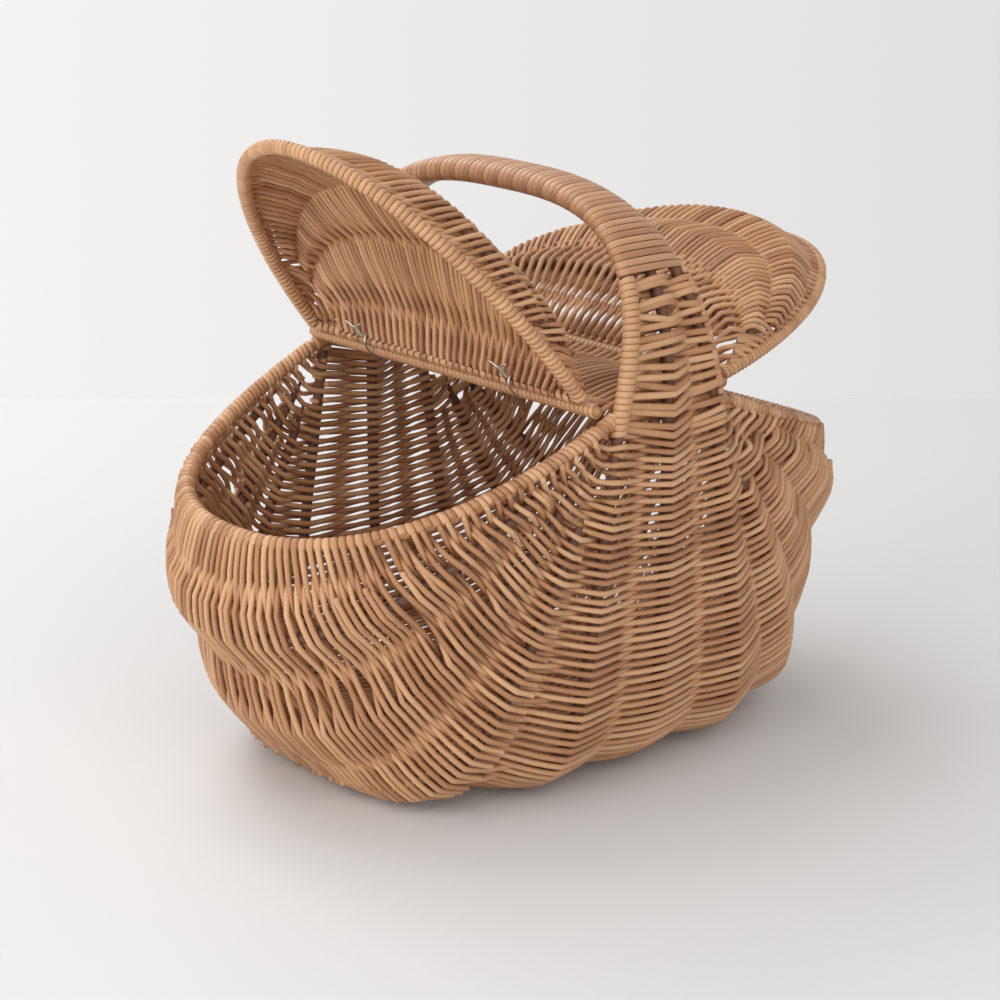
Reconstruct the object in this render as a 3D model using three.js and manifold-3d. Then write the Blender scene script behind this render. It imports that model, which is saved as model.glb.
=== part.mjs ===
// Willow picnic basket: a rib basket with a saddle rim, a hooped handle and two domed lids.
// Millimetres, +Z up. X runs along the basket, Y across it, the origin is under its middle.

import * as THREE from 'three';
import { mergeVertices } from 'three/addons/utils/BufferGeometryUtils.js';
import Module from 'manifold-3d';

const wasm = await Module();
wasm.setup();

// Rim: an oblong hoop that is highest at the two ears, where the handle crosses it
const RIM_HALF_LENGTH = 244;
const RIM_HALF_WIDTH = 152;
const RIM_RADIUS = 6;
const RIM_POWER = 2.32;
const EAR_HEIGHT = 268;
const TIP_HEIGHT = 195;
const RIM_SAG = 0.045;

// Body under the rim: swell is how far the end wall stands out, from rim to floor
const BASE_POWER = 7.5;
const END_SWELL = [[0, 0], [0.2, 34], [0.5, -17], [0.8, -22], [1, 0]];
const RIB_POWER = [[0, 6.2], [0.2, 6.2], [0.5, 2.65], [0.8, 2.4], [1, RIM_POWER]];
const RIBS_PER_SIDE = 4;
const RIB_RADIUS = 3.6;
const RIB_EAR_GAP = 35;
const FLAT_DEPTH = 1.5;

// Hoops: three round rods that pass under the basket and over it as the handle
const HOOP_RADIUS = 4;
const HOOP_HALF_SPACING = 43.5;
const HOOP_OUTSIDE_RIM = 3.5;
const HANDLE_TOP = 402.5;
const HANDLE_POWER = 2.86;
const GRIP_HALF_SPACING = 11.5;

// Weave: round willow rods, passed over and under the ribs
const ROD = 4.6;
const WEAVE_INNER = 1;
const EAR_START = 12;
const SIDE_START = 24;
const RIM_LIP = 1.2;

// Outer side of the weave: hollow height between two ribs, and the steepest slope up to a rib
const HOLLOW = 2.6;
const RIDGE_SLOPE = 0.3;
const TURNED_EDGE = 4;

// Places of the body's first rows of vertices beside an ear, as multiples of EAR_START
const EAR_STATIONS = [1, 2, 3, 4.2, 5.5, 7, 10.4];
const MIDDLE_STATIONS = 11;

// Handle weave and the strip that is wound round the grip
const BINDING_DROP = 38.5;
const BINDING_LOOPS = 24;
const STRIP_THICKNESS = 1.8;
const STRIP_GAP = 1.8;

// Hinge bars and the fixed panel between them
const BAR_X = 57.9;
const BAR_RADIUS = 5;
const PANEL_ROD = 3.4;
const PANEL_RIB_RADIUS = 3;
const PANEL_HOLLOW = 4;

// Lids: a half-oval hoop, a straight base rod, three ribs and a domed weave
const LID_HALF_WIDTH = 139.5;
const LID_LENGTH = 216;
const LID_POWER = 1.96;
const LID_HOOP_RADIUS = 5;
const LID_BASE_RADIUS = 4.3;
const LID_RIBS = 3;
const LID_RIB_RADIUS = 3;
const LID_ROD = 4.2;
const LID_DOME = 39;
const LID_DOME_POWER = { base: 2.1, hoop: 3 };
const LEFT_LID_OPEN = 51.4;
const RIGHT_LID_OPEN = 12.9;

// Places of the lid's first rows of vertices beside a corner, as multiples of its hoop's radius
const CORNER_STATIONS = [3.2, 5.2, 7.2, 9.6, 12.4];

// Steel wire ties that hinge each lid on its bar
const WIRE_RADIUS = 0.8;
const TIE_SPACING = 76;
const TIE_NOTCH = 7;

const CLEAR = 0.3;

// Sides of the round rods, and steps of the curves they follow
const FRAME_SIDES = 6;
const WRAPPED_SIDES = 8;
const BAR_SIDES = 12;
const WIRE_SIDES = 5;
const CURVE_STEPS = 160;
const RIM_STEPS = 26;

// Share of a rib's length, and length of a row, over which a surface direction is measured
const NORMAL_STEP = 0.03;
const ROW_STEP = 2;

// Sizes that follow from the ones above
const WEAVE_OUTER = HOOP_RADIUS + ROD;
const HOOP_HALF_WIDTH = RIM_HALF_WIDTH + HOOP_OUTSIDE_RIM;
const KEEL_HEIGHT = WEAVE_OUTER;
const BAR_SHARE = (BAR_X - HOOP_HALF_SPACING) / (RIM_HALF_LENGTH - HOOP_HALF_SPACING);
const RIM_SLOPE = Math.atan2((EAR_HEIGHT - TIP_HEIGHT) * (1 + Math.PI * RIM_SAG),
  RIM_HALF_LENGTH - HOOP_HALF_SPACING);
const BAR_DROP = (EAR_HEIGHT - TIP_HEIGHT) * (BAR_SHARE + RIM_SAG * Math.sin(Math.PI * BAR_SHARE));
const BAR_HEIGHT = EAR_HEIGHT - BAR_DROP + (RIM_RADIUS + BAR_RADIUS + CLEAR) / Math.cos(RIM_SLOPE);
const LID_BASE_OFFSET = BAR_RADIUS + LID_BASE_RADIUS + CLEAR;
const LID_OUTER = LID_RIB_RADIUS + LID_ROD;

const willow = (name, color) => new THREE.MeshStandardMaterial({ name, color, roughness: 0.55, metalness: 0 });
const weaverWillow = willow('weaver_willow', 0xc1936a);
const frameWillow = willow('frame_willow', 0x9c6b45);
const stripWillow = willow('strip_willow', 0xb98660);
const steel = new THREE.MeshStandardMaterial({ name: 'steel', color: 0xc9c9c6, roughness: 0.3, metalness: 1 });

const basket = new THREE.Group();
basket.name = 'picnic_basket';

function addMesh(parent, name, geometry, material) {
  const mesh = new THREE.Mesh(geometry, material);
  mesh.name = name;
  parent.add(mesh);
  return mesh;
}

// Reads a list of [place, value] pairs with a straight or a smooth step between them
function between(pairs, place, smooth = false) {
  let i = 0;
  while (i < pairs.length - 2 && place > pairs[i + 1][0]) i += 1;
  const [from, a] = pairs[i];
  const [to, b] = pairs[i + 1];
  const share = THREE.MathUtils.clamp((place - from) / (to - from), 0, 1);
  return a + (b - a) * (smooth ? (1 - Math.cos(Math.PI * share)) / 2 : share);
}

// Even steps from a quarter turn back to a quarter turn on
function halfTurns(steps) {
  return Array.from({ length: steps + 1 }, (_, i) => -Math.PI / 2 + (Math.PI * i) / steps);
}

// Running length along a list of points
function lengths(points) {
  const total = [0];
  for (let i = 1; i < points.length; i += 1) total.push(total[i - 1] + points[i].distanceTo(points[i - 1]));
  return total;
}

// Point at a running length of a list of points
function pointAt(points, total, length) {
  let i = 1;
  while (i < points.length - 1 && total[i] < length) i += 1;
  const share = (length - total[i - 1]) / Math.max(total[i] - total[i - 1], 1e-9);
  return points[i - 1].clone().lerp(points[i], THREE.MathUtils.clamp(share, 0, 1));
}

// Turns a vertex list and a triangle list into a closed mesh whose faces look outwards
function solid(vertices, triangles) {
  let volume = 0;
  for (const [a, b, c] of triangles) volume += vertices[a].dot(vertices[b].clone().cross(vertices[c]));
  const index = triangles.flatMap(([a, b, c]) => (volume > 0 ? [a, b, c] : [a, c, b]));
  const geometry = new THREE.BufferGeometry();
  geometry.setAttribute('position', new THREE.Float32BufferAttribute(vertices.flatMap((v) => v.toArray()), 3));
  geometry.setIndex(index);
  geometry.computeVertexNormals();
  return geometry;
}

// Sweeps rings of equal size into a tube, closed on itself or capped at its ends
function skin(rings, closed) {
  const sides = rings[0].length;
  const vertices = rings.flat();
  const triangles = [];
  const spans = closed ? rings.length : rings.length - 1;
  for (let i = 0; i < spans; i += 1) {
    for (let j = 0; j < sides; j += 1) {
      const a = i * sides + j;
      const b = i * sides + ((j + 1) % sides);
      const c = ((i + 1) % rings.length) * sides + ((j + 1) % sides);
      const d = ((i + 1) % rings.length) * sides + j;
      triangles.push([a, b, c], [a, c, d]);
    }
  }
  if (!closed) {
    const last = vertices.length - sides;
    for (let j = 1; j < sides - 1; j += 1) {
      triangles.push([0, j + 1, j], [last, last + j, last + j + 1]);
    }
  }
  return solid(vertices, triangles);
}

// A round rod along points; reference is a direction that the rod never runs along
function rod(points, radius, sides, reference, closed = false) {
  const count = points.length;
  const rings = points.map((point, i) => {
    const before = points[closed ? (i + count - 1) % count : Math.max(i - 1, 0)];
    const after = points[closed ? (i + 1) % count : Math.min(i + 1, count - 1)];
    const along = after.clone().sub(before).normalize();
    const across = reference.clone().addScaledVector(along, -reference.dot(along)).normalize();
    const third = along.clone().cross(across);
    return Array.from({ length: sides }, (_, j) => {
      const angle = (2 * Math.PI * (j + 0.5)) / sides;
      return point.clone().addScaledVector(across, radius * Math.cos(angle))
        .addScaledVector(third, radius * Math.sin(angle));
    });
  });
  return skin(rings, closed);
}

function toManifold(geometry) {
  const bare = geometry.clone();
  bare.deleteAttribute('normal');
  const merged = mergeVertices(bare, 1e-4);
  const vertProperties = new Float32Array(merged.attributes.position.array);
  const triVerts = new Uint32Array(merged.index.array);
  return new wasm.Manifold(new wasm.Mesh({ numProp: 3, vertProperties, triVerts }));
}

function subtract(geometry, cutters) {
  let body = toManifold(geometry);
  for (const cutter of cutters) body = body.subtract(toManifold(cutter));
  const mesh = body.getMesh();
  const result = new THREE.BufferGeometry();
  result.setAttribute('position', new THREE.Float32BufferAttribute(mesh.vertProperties, 3));
  result.setIndex(Array.from(mesh.triVerts));
  result.computeVertexNormals();
  return result;
}

// A ribbed shell. Rib s runs in a fan plane from the near corner to the far corner, through
// shell.middle(s) halfway; shell.power(s) says how square its bend is, and shell.sag(s) how
// much it hangs below the plane in between, as a share of its rise.
class RibbedShell {
  constructor(shape) {
    Object.assign(this, shape, { cache: new Map() });
  }

  point(s, turn) {
    const power = this.power(s);
    const across = Math.sign(Math.sin(turn)) * Math.abs(Math.sin(turn)) ** (2 / power);
    const out = Math.abs(Math.cos(turn)) ** (2 / power);
    const drop = out + this.sag(s) * Math.sin(Math.PI * out);
    const from = this.corner(s);
    const to = this.middle(s);
    return new THREE.Vector3(
      from.x + (to.x - from.x) * out,
      this.halfWidth(s) * across,
      from.z + (to.z - from.z) * drop,
    );
  }

  // The whole rib as points, with its running length
  rib(s) {
    const key = s.toFixed(4);
    if (!this.cache.has(key)) {
      const points = [];
      for (const turn of halfTurns(CURVE_STEPS)) points.push(this.point(s, turn));
      this.cache.set(key, { points, total: lengths(points) });
    }
    return this.cache.get(key);
  }

  // Point at a share t of the rib's own length
  at(s, t) {
    const { points, total } = this.rib(s);
    return pointAt(points, total, t * total[total.length - 1]);
  }

  ribLength(s) {
    return this.rib(s).total.at(-1);
  }

  // A weaver's line across the ribs from s = from to s = to, with its running length
  row(t, from, to, steps) {
    const points = [];
    for (let i = 0; i <= steps; i += 1) {
      const s = from + ((to - from) * i) / steps;
      const first = this.firstRow ? this.firstRow(s) / this.ribLength(s) : 0;
      points.push(this.at(s, THREE.MathUtils.clamp(t, first, 1 - first)));
    }
    return { points, total: lengths(points) };
  }
}

// A woven plate over a shell. Each station is a row; each column is { length, inner, outer },
// where length is measured along the row and inner and outer are offsets from the ribs' centres.
// The plate's outer side looks away from the shell's heart.
function wovenPlate(shell, stations, from, to, steps, columnsAt, adjust = (v) => v) {
  const outerGrid = [];
  const innerGrid = [];
  for (const t of stations) {
    const row = shell.row(t, from, to, steps);
    const inward = t < 0.5 ? 1 : -1;
    const later = shell.row(t + Math.max(inward, 0) * NORMAL_STEP, from, to, steps);
    const earlier = shell.row(t + Math.min(inward, 0) * NORMAL_STEP, from, to, steps);
    const full = row.total.at(-1);
    const outerRow = [];
    const innerRow = [];
    for (const column of columnsAt(t, row)) {
      const point = pointAt(row.points, row.total, column.length);
      const ahead = pointAt(row.points, row.total, Math.min(column.length + ROW_STEP, full));
      const behind = pointAt(row.points, row.total, Math.max(column.length - ROW_STEP, 0));
      const share = column.length / full;
      const next = pointAt(later.points, later.total, share * later.total.at(-1));
      const last = pointAt(earlier.points, earlier.total, share * earlier.total.at(-1));
      const normal = ahead.sub(behind).cross(next.sub(last)).normalize();
      if (normal.dot(point.clone().sub(shell.heart)) < 0) normal.negate();
      outerRow.push(adjust(point.clone().addScaledVector(normal, column.outer)));
      innerRow.push(point.clone().addScaledVector(normal, column.inner));
    }
    outerGrid.push(outerRow);
    innerGrid.push(innerRow);
  }
  return plate(outerGrid, innerGrid);
}

// Closes two equal grids of points into one solid
function plate(outerGrid, innerGrid) {
  const rows = outerGrid.length;
  const columns = outerGrid[0].length;
  const vertices = [...outerGrid.flat(), ...innerGrid.flat()];
  const half = rows * columns;
  const triangles = [];
  const quad = (a, b, c, d) => triangles.push([a, b, c], [a, c, d]);
  for (let i = 0; i < rows - 1; i += 1) {
    for (let j = 0; j < columns - 1; j += 1) {
      const a = i * columns + j;
      quad(a, a + 1, a + columns + 1, a + columns);
      quad(half + a, half + a + columns, half + a + columns + 1, half + a + 1);
    }
  }
  for (let i = 0; i < rows - 1; i += 1) {
    const left = i * columns;
    const right = left + columns - 1;
    quad(left, left + columns, half + left + columns, half + left);
    quad(right, half + right, half + right + columns, right + columns);
  }
  for (let j = 0; j < columns - 1; j += 1) {
    const end = (rows - 1) * columns + j;
    quad(j, half + j, half + j + 1, j + 1);
    quad(end, end + 1, half + end + 1, half + end);
  }
  return solid(vertices, triangles);
}

// Half the width of the groove that a plate leaves round a rib
const mouthOf = (radius) => radius + 5 * CLEAR;

// The four columns of that groove; a closed one is only a place where a rib begins further on
function groove(place, inner) {
  const mouth = place.open ? mouthOf(place.radius) : place.room;
  const roof = place.open ? place.radius : place.room / 2;
  const depth = place.open ? place.radius + 3 * CLEAR : inner;
  return [[-mouth, inner], [-roof, depth], [roof, depth], [mouth, inner]]
    .map(([shift, offset]) => ({ length: place.length + shift, inner: offset }));
}

// Height of a row's outer side as [length, height] pairs: a crown over each rib, where weavers
// pass outside it, a hollow halfway to the next one, and the given edges at the two ends
function ridges(places, ends, outer, hollow, edges) {
  const crowns = places.filter((place) => place.open)
    .map(({ length, radius }) => [[length - radius, outer], [length + radius, outer]]);
  const stops = [[[ends[0], edges[0]]], ...crowns, [[ends[1], edges[1]]]];
  return stops.flatMap((stop, i) => {
    if (i === stops.length - 1) return stop;
    const [from, a] = stop.at(-1);
    const [to, b] = stops[i + 1][0];
    const slopes = Math.max(a, b) - (RIDGE_SLOPE * (to - from)) / 2;
    return [...stop, [(from + to) / 2, Math.min(Math.max(hollow, slopes), a, b)]];
  });
}

// All columns of a row between its two ends, for ribs at the given places
function ribColumns(places, ends, inner, outer, hollow, edges) {
  const stops = [[{ length: ends[0], inner }], ...places.map((place) => groove(place, inner)),
    [{ length: ends[1], inner }]];
  const profile = ridges(places, ends, outer, hollow, edges);
  const columns = stops.flatMap((stop, i) => {
    if (i === stops.length - 1) return stop;
    return [...stop, { length: (stop.at(-1).length + stops[i + 1][0].length) / 2, inner }];
  });
  return columns.map((column) => ({ ...column, outer: between(profile, column.length) }));
}

// Places along a row for ribs that share a fan. A rib that has not begun at this row is
// spread in the room left between the last one that has and the row's end.
function fanPlaces(from, to, ribs) {
  const sense = Math.sign(to - from);
  let last = from;
  return ribs.map((rib, i) => {
    if (rib.begun) {
      last = rib.length + sense * mouthOf(rib.radius);
      return { length: rib.length, radius: rib.radius, open: true };
    }
    const step = (to - last) / (ribs.length - i);
    const length = last + step / 2;
    last += step;
    return { length, open: false, room: Math.abs(step) / 4 };
  });
}

// For each rib of a fan, the first station from the ear at which it has room beside its neighbours
function firstStations(stations, ribLength, fanAt) {
  const half = stations.filter((t) => t * ribLength > RIB_EAR_GAP && t <= 0.5).reverse();
  const first = [];
  for (const t of half) {
    const { from, to, lengths: places, radius } = fanAt(t);
    const sense = Math.sign(to - from);
    const need = mouthOf(radius) + 2 * CLEAR;
    let last = from;
    places.forEach((length, i) => {
      const fits = (length - last) * sense > need && (to - length) * sense > need;
      const held = t === half[0] || first[i] === half[half.indexOf(t) - 1];
      if (fits && held) first[i] = t;
      if (first[i] === t) last = length + sense * mouthOf(radius);
    });
  }
  return first;
}

// Least running length from a row's end at which its points stand clear of a rod
function clearOf(row, rodPoints, distance, fromEnd) {
  const full = row.total.at(-1);
  for (let back = distance * 0.8; back < full; back += 0.25) {
    const point = pointAt(row.points, row.total, fromEnd ? full - back : back);
    let nearest = Infinity;
    for (let i = 1; i < rodPoints.length; i += 1) {
      const line = new THREE.Line3(rodPoints[i - 1], rodPoints[i]);
      const foot = line.closestPointToPoint(point, true, new THREE.Vector3());
      nearest = Math.min(nearest, foot.distanceTo(point));
    }
    if (nearest >= distance) return back;
  }
  return full / 2;
}

const upRef = new THREE.Vector3(0, 0, 1);
const longRef = new THREE.Vector3(1, 0, 0);
const acrossRef = new THREE.Vector3(0, 1, 0);

// Middle section of the body, from the keel (0) to the rim's tip (1) by its own length
function middleSection() {
  const points = [];
  for (let i = 0; i <= CURVE_STEPS; i += 1) {
    const turn = (Math.PI / 2) * (i / CURVE_STEPS);
    const depth = Math.abs(Math.cos(turn)) ** (2 / BASE_POWER);
    const reach = RIM_HALF_LENGTH * Math.sin(turn) ** (2 / BASE_POWER);
    const swell = between(END_SWELL, depth, true) * (reach / RIM_HALF_LENGTH);
    points.push(new THREE.Vector3(reach + swell, 0, TIP_HEIGHT - (TIP_HEIGHT - KEEL_HEIGHT) * depth));
  }
  return { points, total: lengths(points) };
}

const section = middleSection();
const HOOP_PLACE = 1 / (RIBS_PER_SIDE + 1);

const body = new RibbedShell({
  corner: (s) => new THREE.Vector3(
    Math.sign(s) * HOOP_HALF_SPACING * Math.min(1, Math.abs(s) / HOOP_PLACE), 0, EAR_HEIGHT),
  middle: (s) => {
    const point = pointAt(section.points, section.total, Math.abs(s) * section.total.at(-1));
    return point.setX(point.x * Math.sign(s));
  },
  power: (s) => between(RIB_POWER, Math.abs(s)),
  sag: (s) => between([[0, 0], [1 - HOOP_PLACE, 0], [1, RIM_SAG]], Math.abs(s)),
  halfWidth: (s) => between([[0, HOOP_HALF_WIDTH], [HOOP_PLACE, HOOP_HALF_WIDTH],
    [2 * HOOP_PLACE, RIM_HALF_WIDTH], [1, RIM_HALF_WIDTH]], Math.abs(s)),
  heart: new THREE.Vector3(0, 0, (EAR_HEIGHT + TIP_HEIGHT) / 3),
  firstRow: (s) => between([[0, EAR_START], [HOOP_PLACE, EAR_START], [2 * HOOP_PLACE, SIDE_START],
    [1, SIDE_START]], Math.abs(s)),
});

// Shares of a rib's length, closer together near the ears where the ribs bend
function stationList(middleCount, near) {
  const list = [...near];
  const start = near.at(-1);
  for (let i = 1; i < middleCount; i += 1) list.push(start + ((1 - 2 * start) * i) / middleCount);
  return [...list, ...near.map((t) => 1 - t).reverse()];
}

const averageRib = body.ribLength(HOOP_PLACE);
const bodyStations = stationList(MIDDLE_STATIONS, EAR_STATIONS.map((many) => (many * EAR_START) / averageRib));

// Rim: the two half ovals joined by the short straights at the ears
function rimLine() {
  const half = (side) => halfTurns(RIM_STEPS).map((turn) => body.point(side, turn));
  return [...half(1), ...half(-1).reverse()];
}

// Handle: one hoop's upper half at a share v of the spacing, from the near ear to the far ear
function handlePoint(v, turn) {
  const rise = Math.abs(Math.cos(turn)) ** (2 / HANDLE_POWER);
  const across = Math.sign(Math.sin(turn)) * Math.abs(Math.sin(turn)) ** (2 / HANDLE_POWER);
  const spacing = HOOP_HALF_SPACING + (GRIP_HALF_SPACING - HOOP_HALF_SPACING) * rise;
  const height = EAR_HEIGHT + (HANDLE_TOP - EAR_HEIGHT) * rise;
  return new THREE.Vector3(v * spacing, HOOP_HALF_WIDTH * across, height);
}

function handleLine(v) {
  const points = halfTurns(CURVE_STEPS).map((turn) => handlePoint(v, turn));
  return { points, total: lengths(points) };
}

const middleHandle = handleLine(0);
const handleLength = middleHandle.total.at(-1);
const bindingIndex = middleHandle.points.findIndex((point) => point.z > HANDLE_TOP - BINDING_DROP);
const bindingStart = middleHandle.total[bindingIndex];

// Shares of the handle's length: the woven legs and, between them, the bound grip
const LEG_STEPS = 6;
const GRIP_STEPS = 20;
const legStations = Array.from({ length: LEG_STEPS + 1 },
  (_, i) => (EAR_START + ((bindingStart - EAR_START - CLEAR) * i) / LEG_STEPS) / handleLength);
const gripStart = bindingStart / handleLength;
const gripStations = Array.from({ length: GRIP_STEPS - 1 },
  (_, i) => gripStart + ((1 - 2 * gripStart) * (i + 1)) / GRIP_STEPS);
const handleStations = [...legStations, ...gripStations, ...legStations.map((t) => 1 - t).reverse()];

// A closed hoop: under the body at place s, then back over the top as the handle
function hoopLine(side) {
  const under = bodyStations.map((t) => body.at(side * HOOP_PLACE, t));
  const over = handleLine(side);
  const full = over.total.at(-1);
  const points = [body.at(side * HOOP_PLACE, 0), ...under, body.at(side * HOOP_PLACE, 1)];
  for (const t of [...handleStations].reverse()) points.push(pointAt(over.points, over.total, t * full));
  return points;
}

const rimPoints = rimLine();
const hoopSides = [['left', -1], ['middle', 0], ['right', 1]];
const hoopLines = hoopSides.map(([, side]) => hoopLine(side));

// The rim is notched where each hoop passes outside it, a hair wider than the clearance
const NOTCH_EASE = 0.05;
const notchCutters = hoopLines.flatMap((line) => [true, false].map((near) => {
  const joint = near ? 0 : bodyStations.length + 1;
  const span = [-2, -1, 0, 1, 2].map((shift) => line[(joint + shift + line.length) % line.length]);
  return rod(span, HOOP_RADIUS + CLEAR + NOTCH_EASE, WRAPPED_SIDES, longRef);
}));
const wholeRim = rod(rimPoints, RIM_RADIUS, WRAPPED_SIDES, upRef, true);
addMesh(basket, 'rim_hoop', subtract(wholeRim, notchCutters), weaverWillow);

hoopSides.forEach(([name], i) => {
  addMesh(basket, `hoop_${name}`, rod(hoopLines[i], HOOP_RADIUS, FRAME_SIDES, longRef, true), frameWillow);
});

// Where the hoops and the ribs cross a row of the body, on the left and on the right.
// Near the ears the weave bends round the outer hoops, so it leaves them more room there.
const ribNames = ['foot', 'lower', 'upper'];
const BODY_ROW_STEPS = 100;
const EAR_BEND = 60;
const EAR_ROOM = 2.8;
function bodyFans(t, row) {
  const full = row.total.at(-1);
  const hoopRadius = HOOP_RADIUS + (Math.min(t, 1 - t) * averageRib < EAR_BEND ? EAR_ROOM : 0);
  const start = clearOf(row, rimPoints, RIM_RADIUS + RIM_LIP, false);
  const lengthAt = (place) => row.total[Math.round(((place * HOOP_PLACE + 1) / 2) * BODY_ROW_STEPS)];
  const hoops = [-1, 0, 1].map((place) => ({ length: lengthAt(place), radius: hoopRadius, open: true }));
  const fans = [-1, 1].map((side) => ({
    from: hoops[side + 1].length + side * mouthOf(hoopRadius),
    to: side < 0 ? start : full - start,
    lengths: ribNames.map((_, i) => lengthAt(side * (i + 2))),
    radius: RIB_RADIUS,
  }));
  return { hoops, fans };
}

const bodyStarts = firstStations(bodyStations, averageRib,
  (t) => bodyFans(t, body.row(t, -1, 1, BODY_ROW_STEPS)).fans[1]);
const hasBegun = (first, t) => Math.min(t, 1 - t) > first - 1e-6;

// Ribs between the outer hoops and the rim, pointed to the ears and held by the weave
const RIB_SETBACK = 3;
for (const [sideName, side] of [['left', -1], ['right', 1]]) {
  ribNames.forEach((name, i) => {
    const s = side * HOOP_PLACE * (i + 2);
    const first = bodyStarts[i] + RIB_SETBACK / averageRib;
    const stations = [first, ...bodyStations.filter((t) => t > first && t < 1 - first), 1 - first];
    const line = stations.map((t) => body.at(s, t));
    addMesh(basket, `rib_${name}_${sideName}`, rod(line, RIB_RADIUS, FRAME_SIDES, acrossRef), frameWillow);
  });
}

// Body weave, from just under the rim on one end to just under it on the other
function bodyColumns(t, row) {
  const { hoops, fans } = bodyFans(t, row);
  const [left, right] = fans.map((fan) => fanPlaces(fan.from, fan.to,
    fan.lengths.map((length, i) => ({ length, radius: RIB_RADIUS, begun: hasBegun(bodyStarts[i], t) }))));
  const places = [...left.reverse(), ...hoops, ...right];
  const ends = fans.map(({ to }) => to);
  return ribColumns(places, ends, -WEAVE_INNER, WEAVE_OUTER, HOLLOW, [RIM_RADIUS, RIM_RADIUS]);
}

const flatBase = (v) => (v.z < FLAT_DEPTH ? v.setZ(0) : v);
addMesh(basket, 'body_weave',
  wovenPlate(body, bodyStations, -1, 1, BODY_ROW_STEPS, bodyColumns, flatBase), weaverWillow);

// Handle weave: a plate over the three hoops, from just above the rim to the binding
const LEG_REACH = 1.6;
const LEG_ROW_STEPS = 32;
const handleShell = {
  row(t, from, to, steps) {
    const points = [];
    for (let i = 0; i <= steps; i += 1) {
      const line = handleLine(from + ((to - from) * i) / steps);
      points.push(pointAt(line.points, line.total, t * line.total.at(-1)));
    }
    return { points, total: lengths(points) };
  },
  heart: new THREE.Vector3(0, 0, EAR_HEIGHT),
};

function handleColumns(t, row) {
  const lengthAt = (v) => row.total[Math.round(((v + LEG_REACH) / (2 * LEG_REACH)) * LEG_ROW_STEPS)];
  const places = [-1, 0, 1].map((v) => ({ length: lengthAt(v), radius: HOOP_RADIUS, open: true }));
  const ends = [places[0].length - WEAVE_OUTER, places[2].length + WEAVE_OUTER];
  return ribColumns(places, ends, -WEAVE_INNER, WEAVE_OUTER, HOLLOW, [TURNED_EDGE, TURNED_EDGE]);
}

for (const [name, stations] of [['near', legStations], ['far', legStations.map((t) => 1 - t)]]) {
  addMesh(basket, `handle_weave_${name}`,
    wovenPlate(handleShell, stations, -LEG_REACH, LEG_REACH, LEG_ROW_STEPS, handleColumns), weaverWillow);
}

// Binding: one flat strip wound round the three hoops from one leg to the other. In each half
// loop it bends round an outer hoop for BEND_SHARE of the loop and then crosses over.
const BEND_STEPS = 5;
const BEND_SHARE = 0.26;
const BEND_FROM = (0.5 - BEND_SHARE) / 2;
const bindingLength = handleLength - 2 * bindingStart;
const bindingPitch = bindingLength / (BINDING_LOOPS + 1);
const stripWidth = bindingPitch - STRIP_GAP;

function bindingRings() {
  const bendRadius = HOOP_RADIUS + 5 * CLEAR + STRIP_THICKNESS / 2;
  const rings = [];
  const first = bindingStart + bindingPitch / 2;
  for (let loop = 0; loop < BINDING_LOOPS; loop += 1) {
    for (const side of [1, -1]) {
      for (let i = 0; i <= BEND_STEPS; i += 1) {
        const share = (side > 0 ? 0 : 0.5) + BEND_FROM + (BEND_SHARE * i) / BEND_STEPS;
        const length = first + (loop + share) * bindingPitch;
        const at = pointAt(middleHandle.points, middleHandle.total, length);
        const ahead = pointAt(middleHandle.points, middleHandle.total, length + ROW_STEP);
        const behind = pointAt(middleHandle.points, middleHandle.total, length - ROW_STEP);
        const along = ahead.sub(behind).normalize();
        const up = longRef.clone().cross(along).normalize();
        const rise = (at.z - EAR_HEIGHT) / (HANDLE_TOP - EAR_HEIGHT);
        const spacing = HOOP_HALF_SPACING + (GRIP_HALF_SPACING - HOOP_HALF_SPACING) * rise;
        const angle = side > 0 ? (i / BEND_STEPS - 0.5) * Math.PI : (i / BEND_STEPS + 0.5) * Math.PI;
        const out = longRef.clone().multiplyScalar(Math.cos(angle)).addScaledVector(up, Math.sin(angle));
        const centre = at.addScaledVector(longRef, side * spacing).addScaledVector(out, bendRadius);
        rings.push([[-1, -1], [1, -1], [1, 1], [-1, 1]].map(([w, d]) => centre.clone()
          .addScaledVector(along, (w * stripWidth) / 2).addScaledVector(out, (d * STRIP_THICKNESS) / 2)));
      }
    }
  }
  return rings;
}

const binding = bindingRings();
const ringsPerLoop = 2 * (BEND_STEPS + 1);
let leastGap = Infinity;
binding.forEach((ring, i) => {
  for (const before of binding.slice(Math.max(i - ringsPerLoop - 3, 0), Math.max(i - ringsPerLoop + 4, 0))) {
    for (const point of ring) {
      for (const other of before) leastGap = Math.min(leastGap, point.distanceTo(other));
    }
  }
});
console.log(`least gap between the binding's loops: ${leastGap.toFixed(2)} mm`);
addMesh(basket, 'handle_binding', skin(binding, false), stripWillow);

// Hinge bars: they rest on the rim beside the handle and carry the panel and the lids
const BAR_SETBACK = 1;
const BAR_END = RIM_HALF_WIDTH - BAR_SETBACK;
const sides = [['left', -1, LEFT_LID_OPEN], ['right', 1, RIGHT_LID_OPEN]];

function straightRod(radius, halfLength) {
  return new THREE.CylinderGeometry(radius, radius, 2 * halfLength, BAR_SIDES);
}

for (const [name, side] of sides) {
  const bar = addMesh(basket, `hinge_bar_${name}`, straightRod(BAR_RADIUS, BAR_END), weaverWillow);
  bar.position.set(side * BAR_X, 0, BAR_HEIGHT);
}

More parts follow.
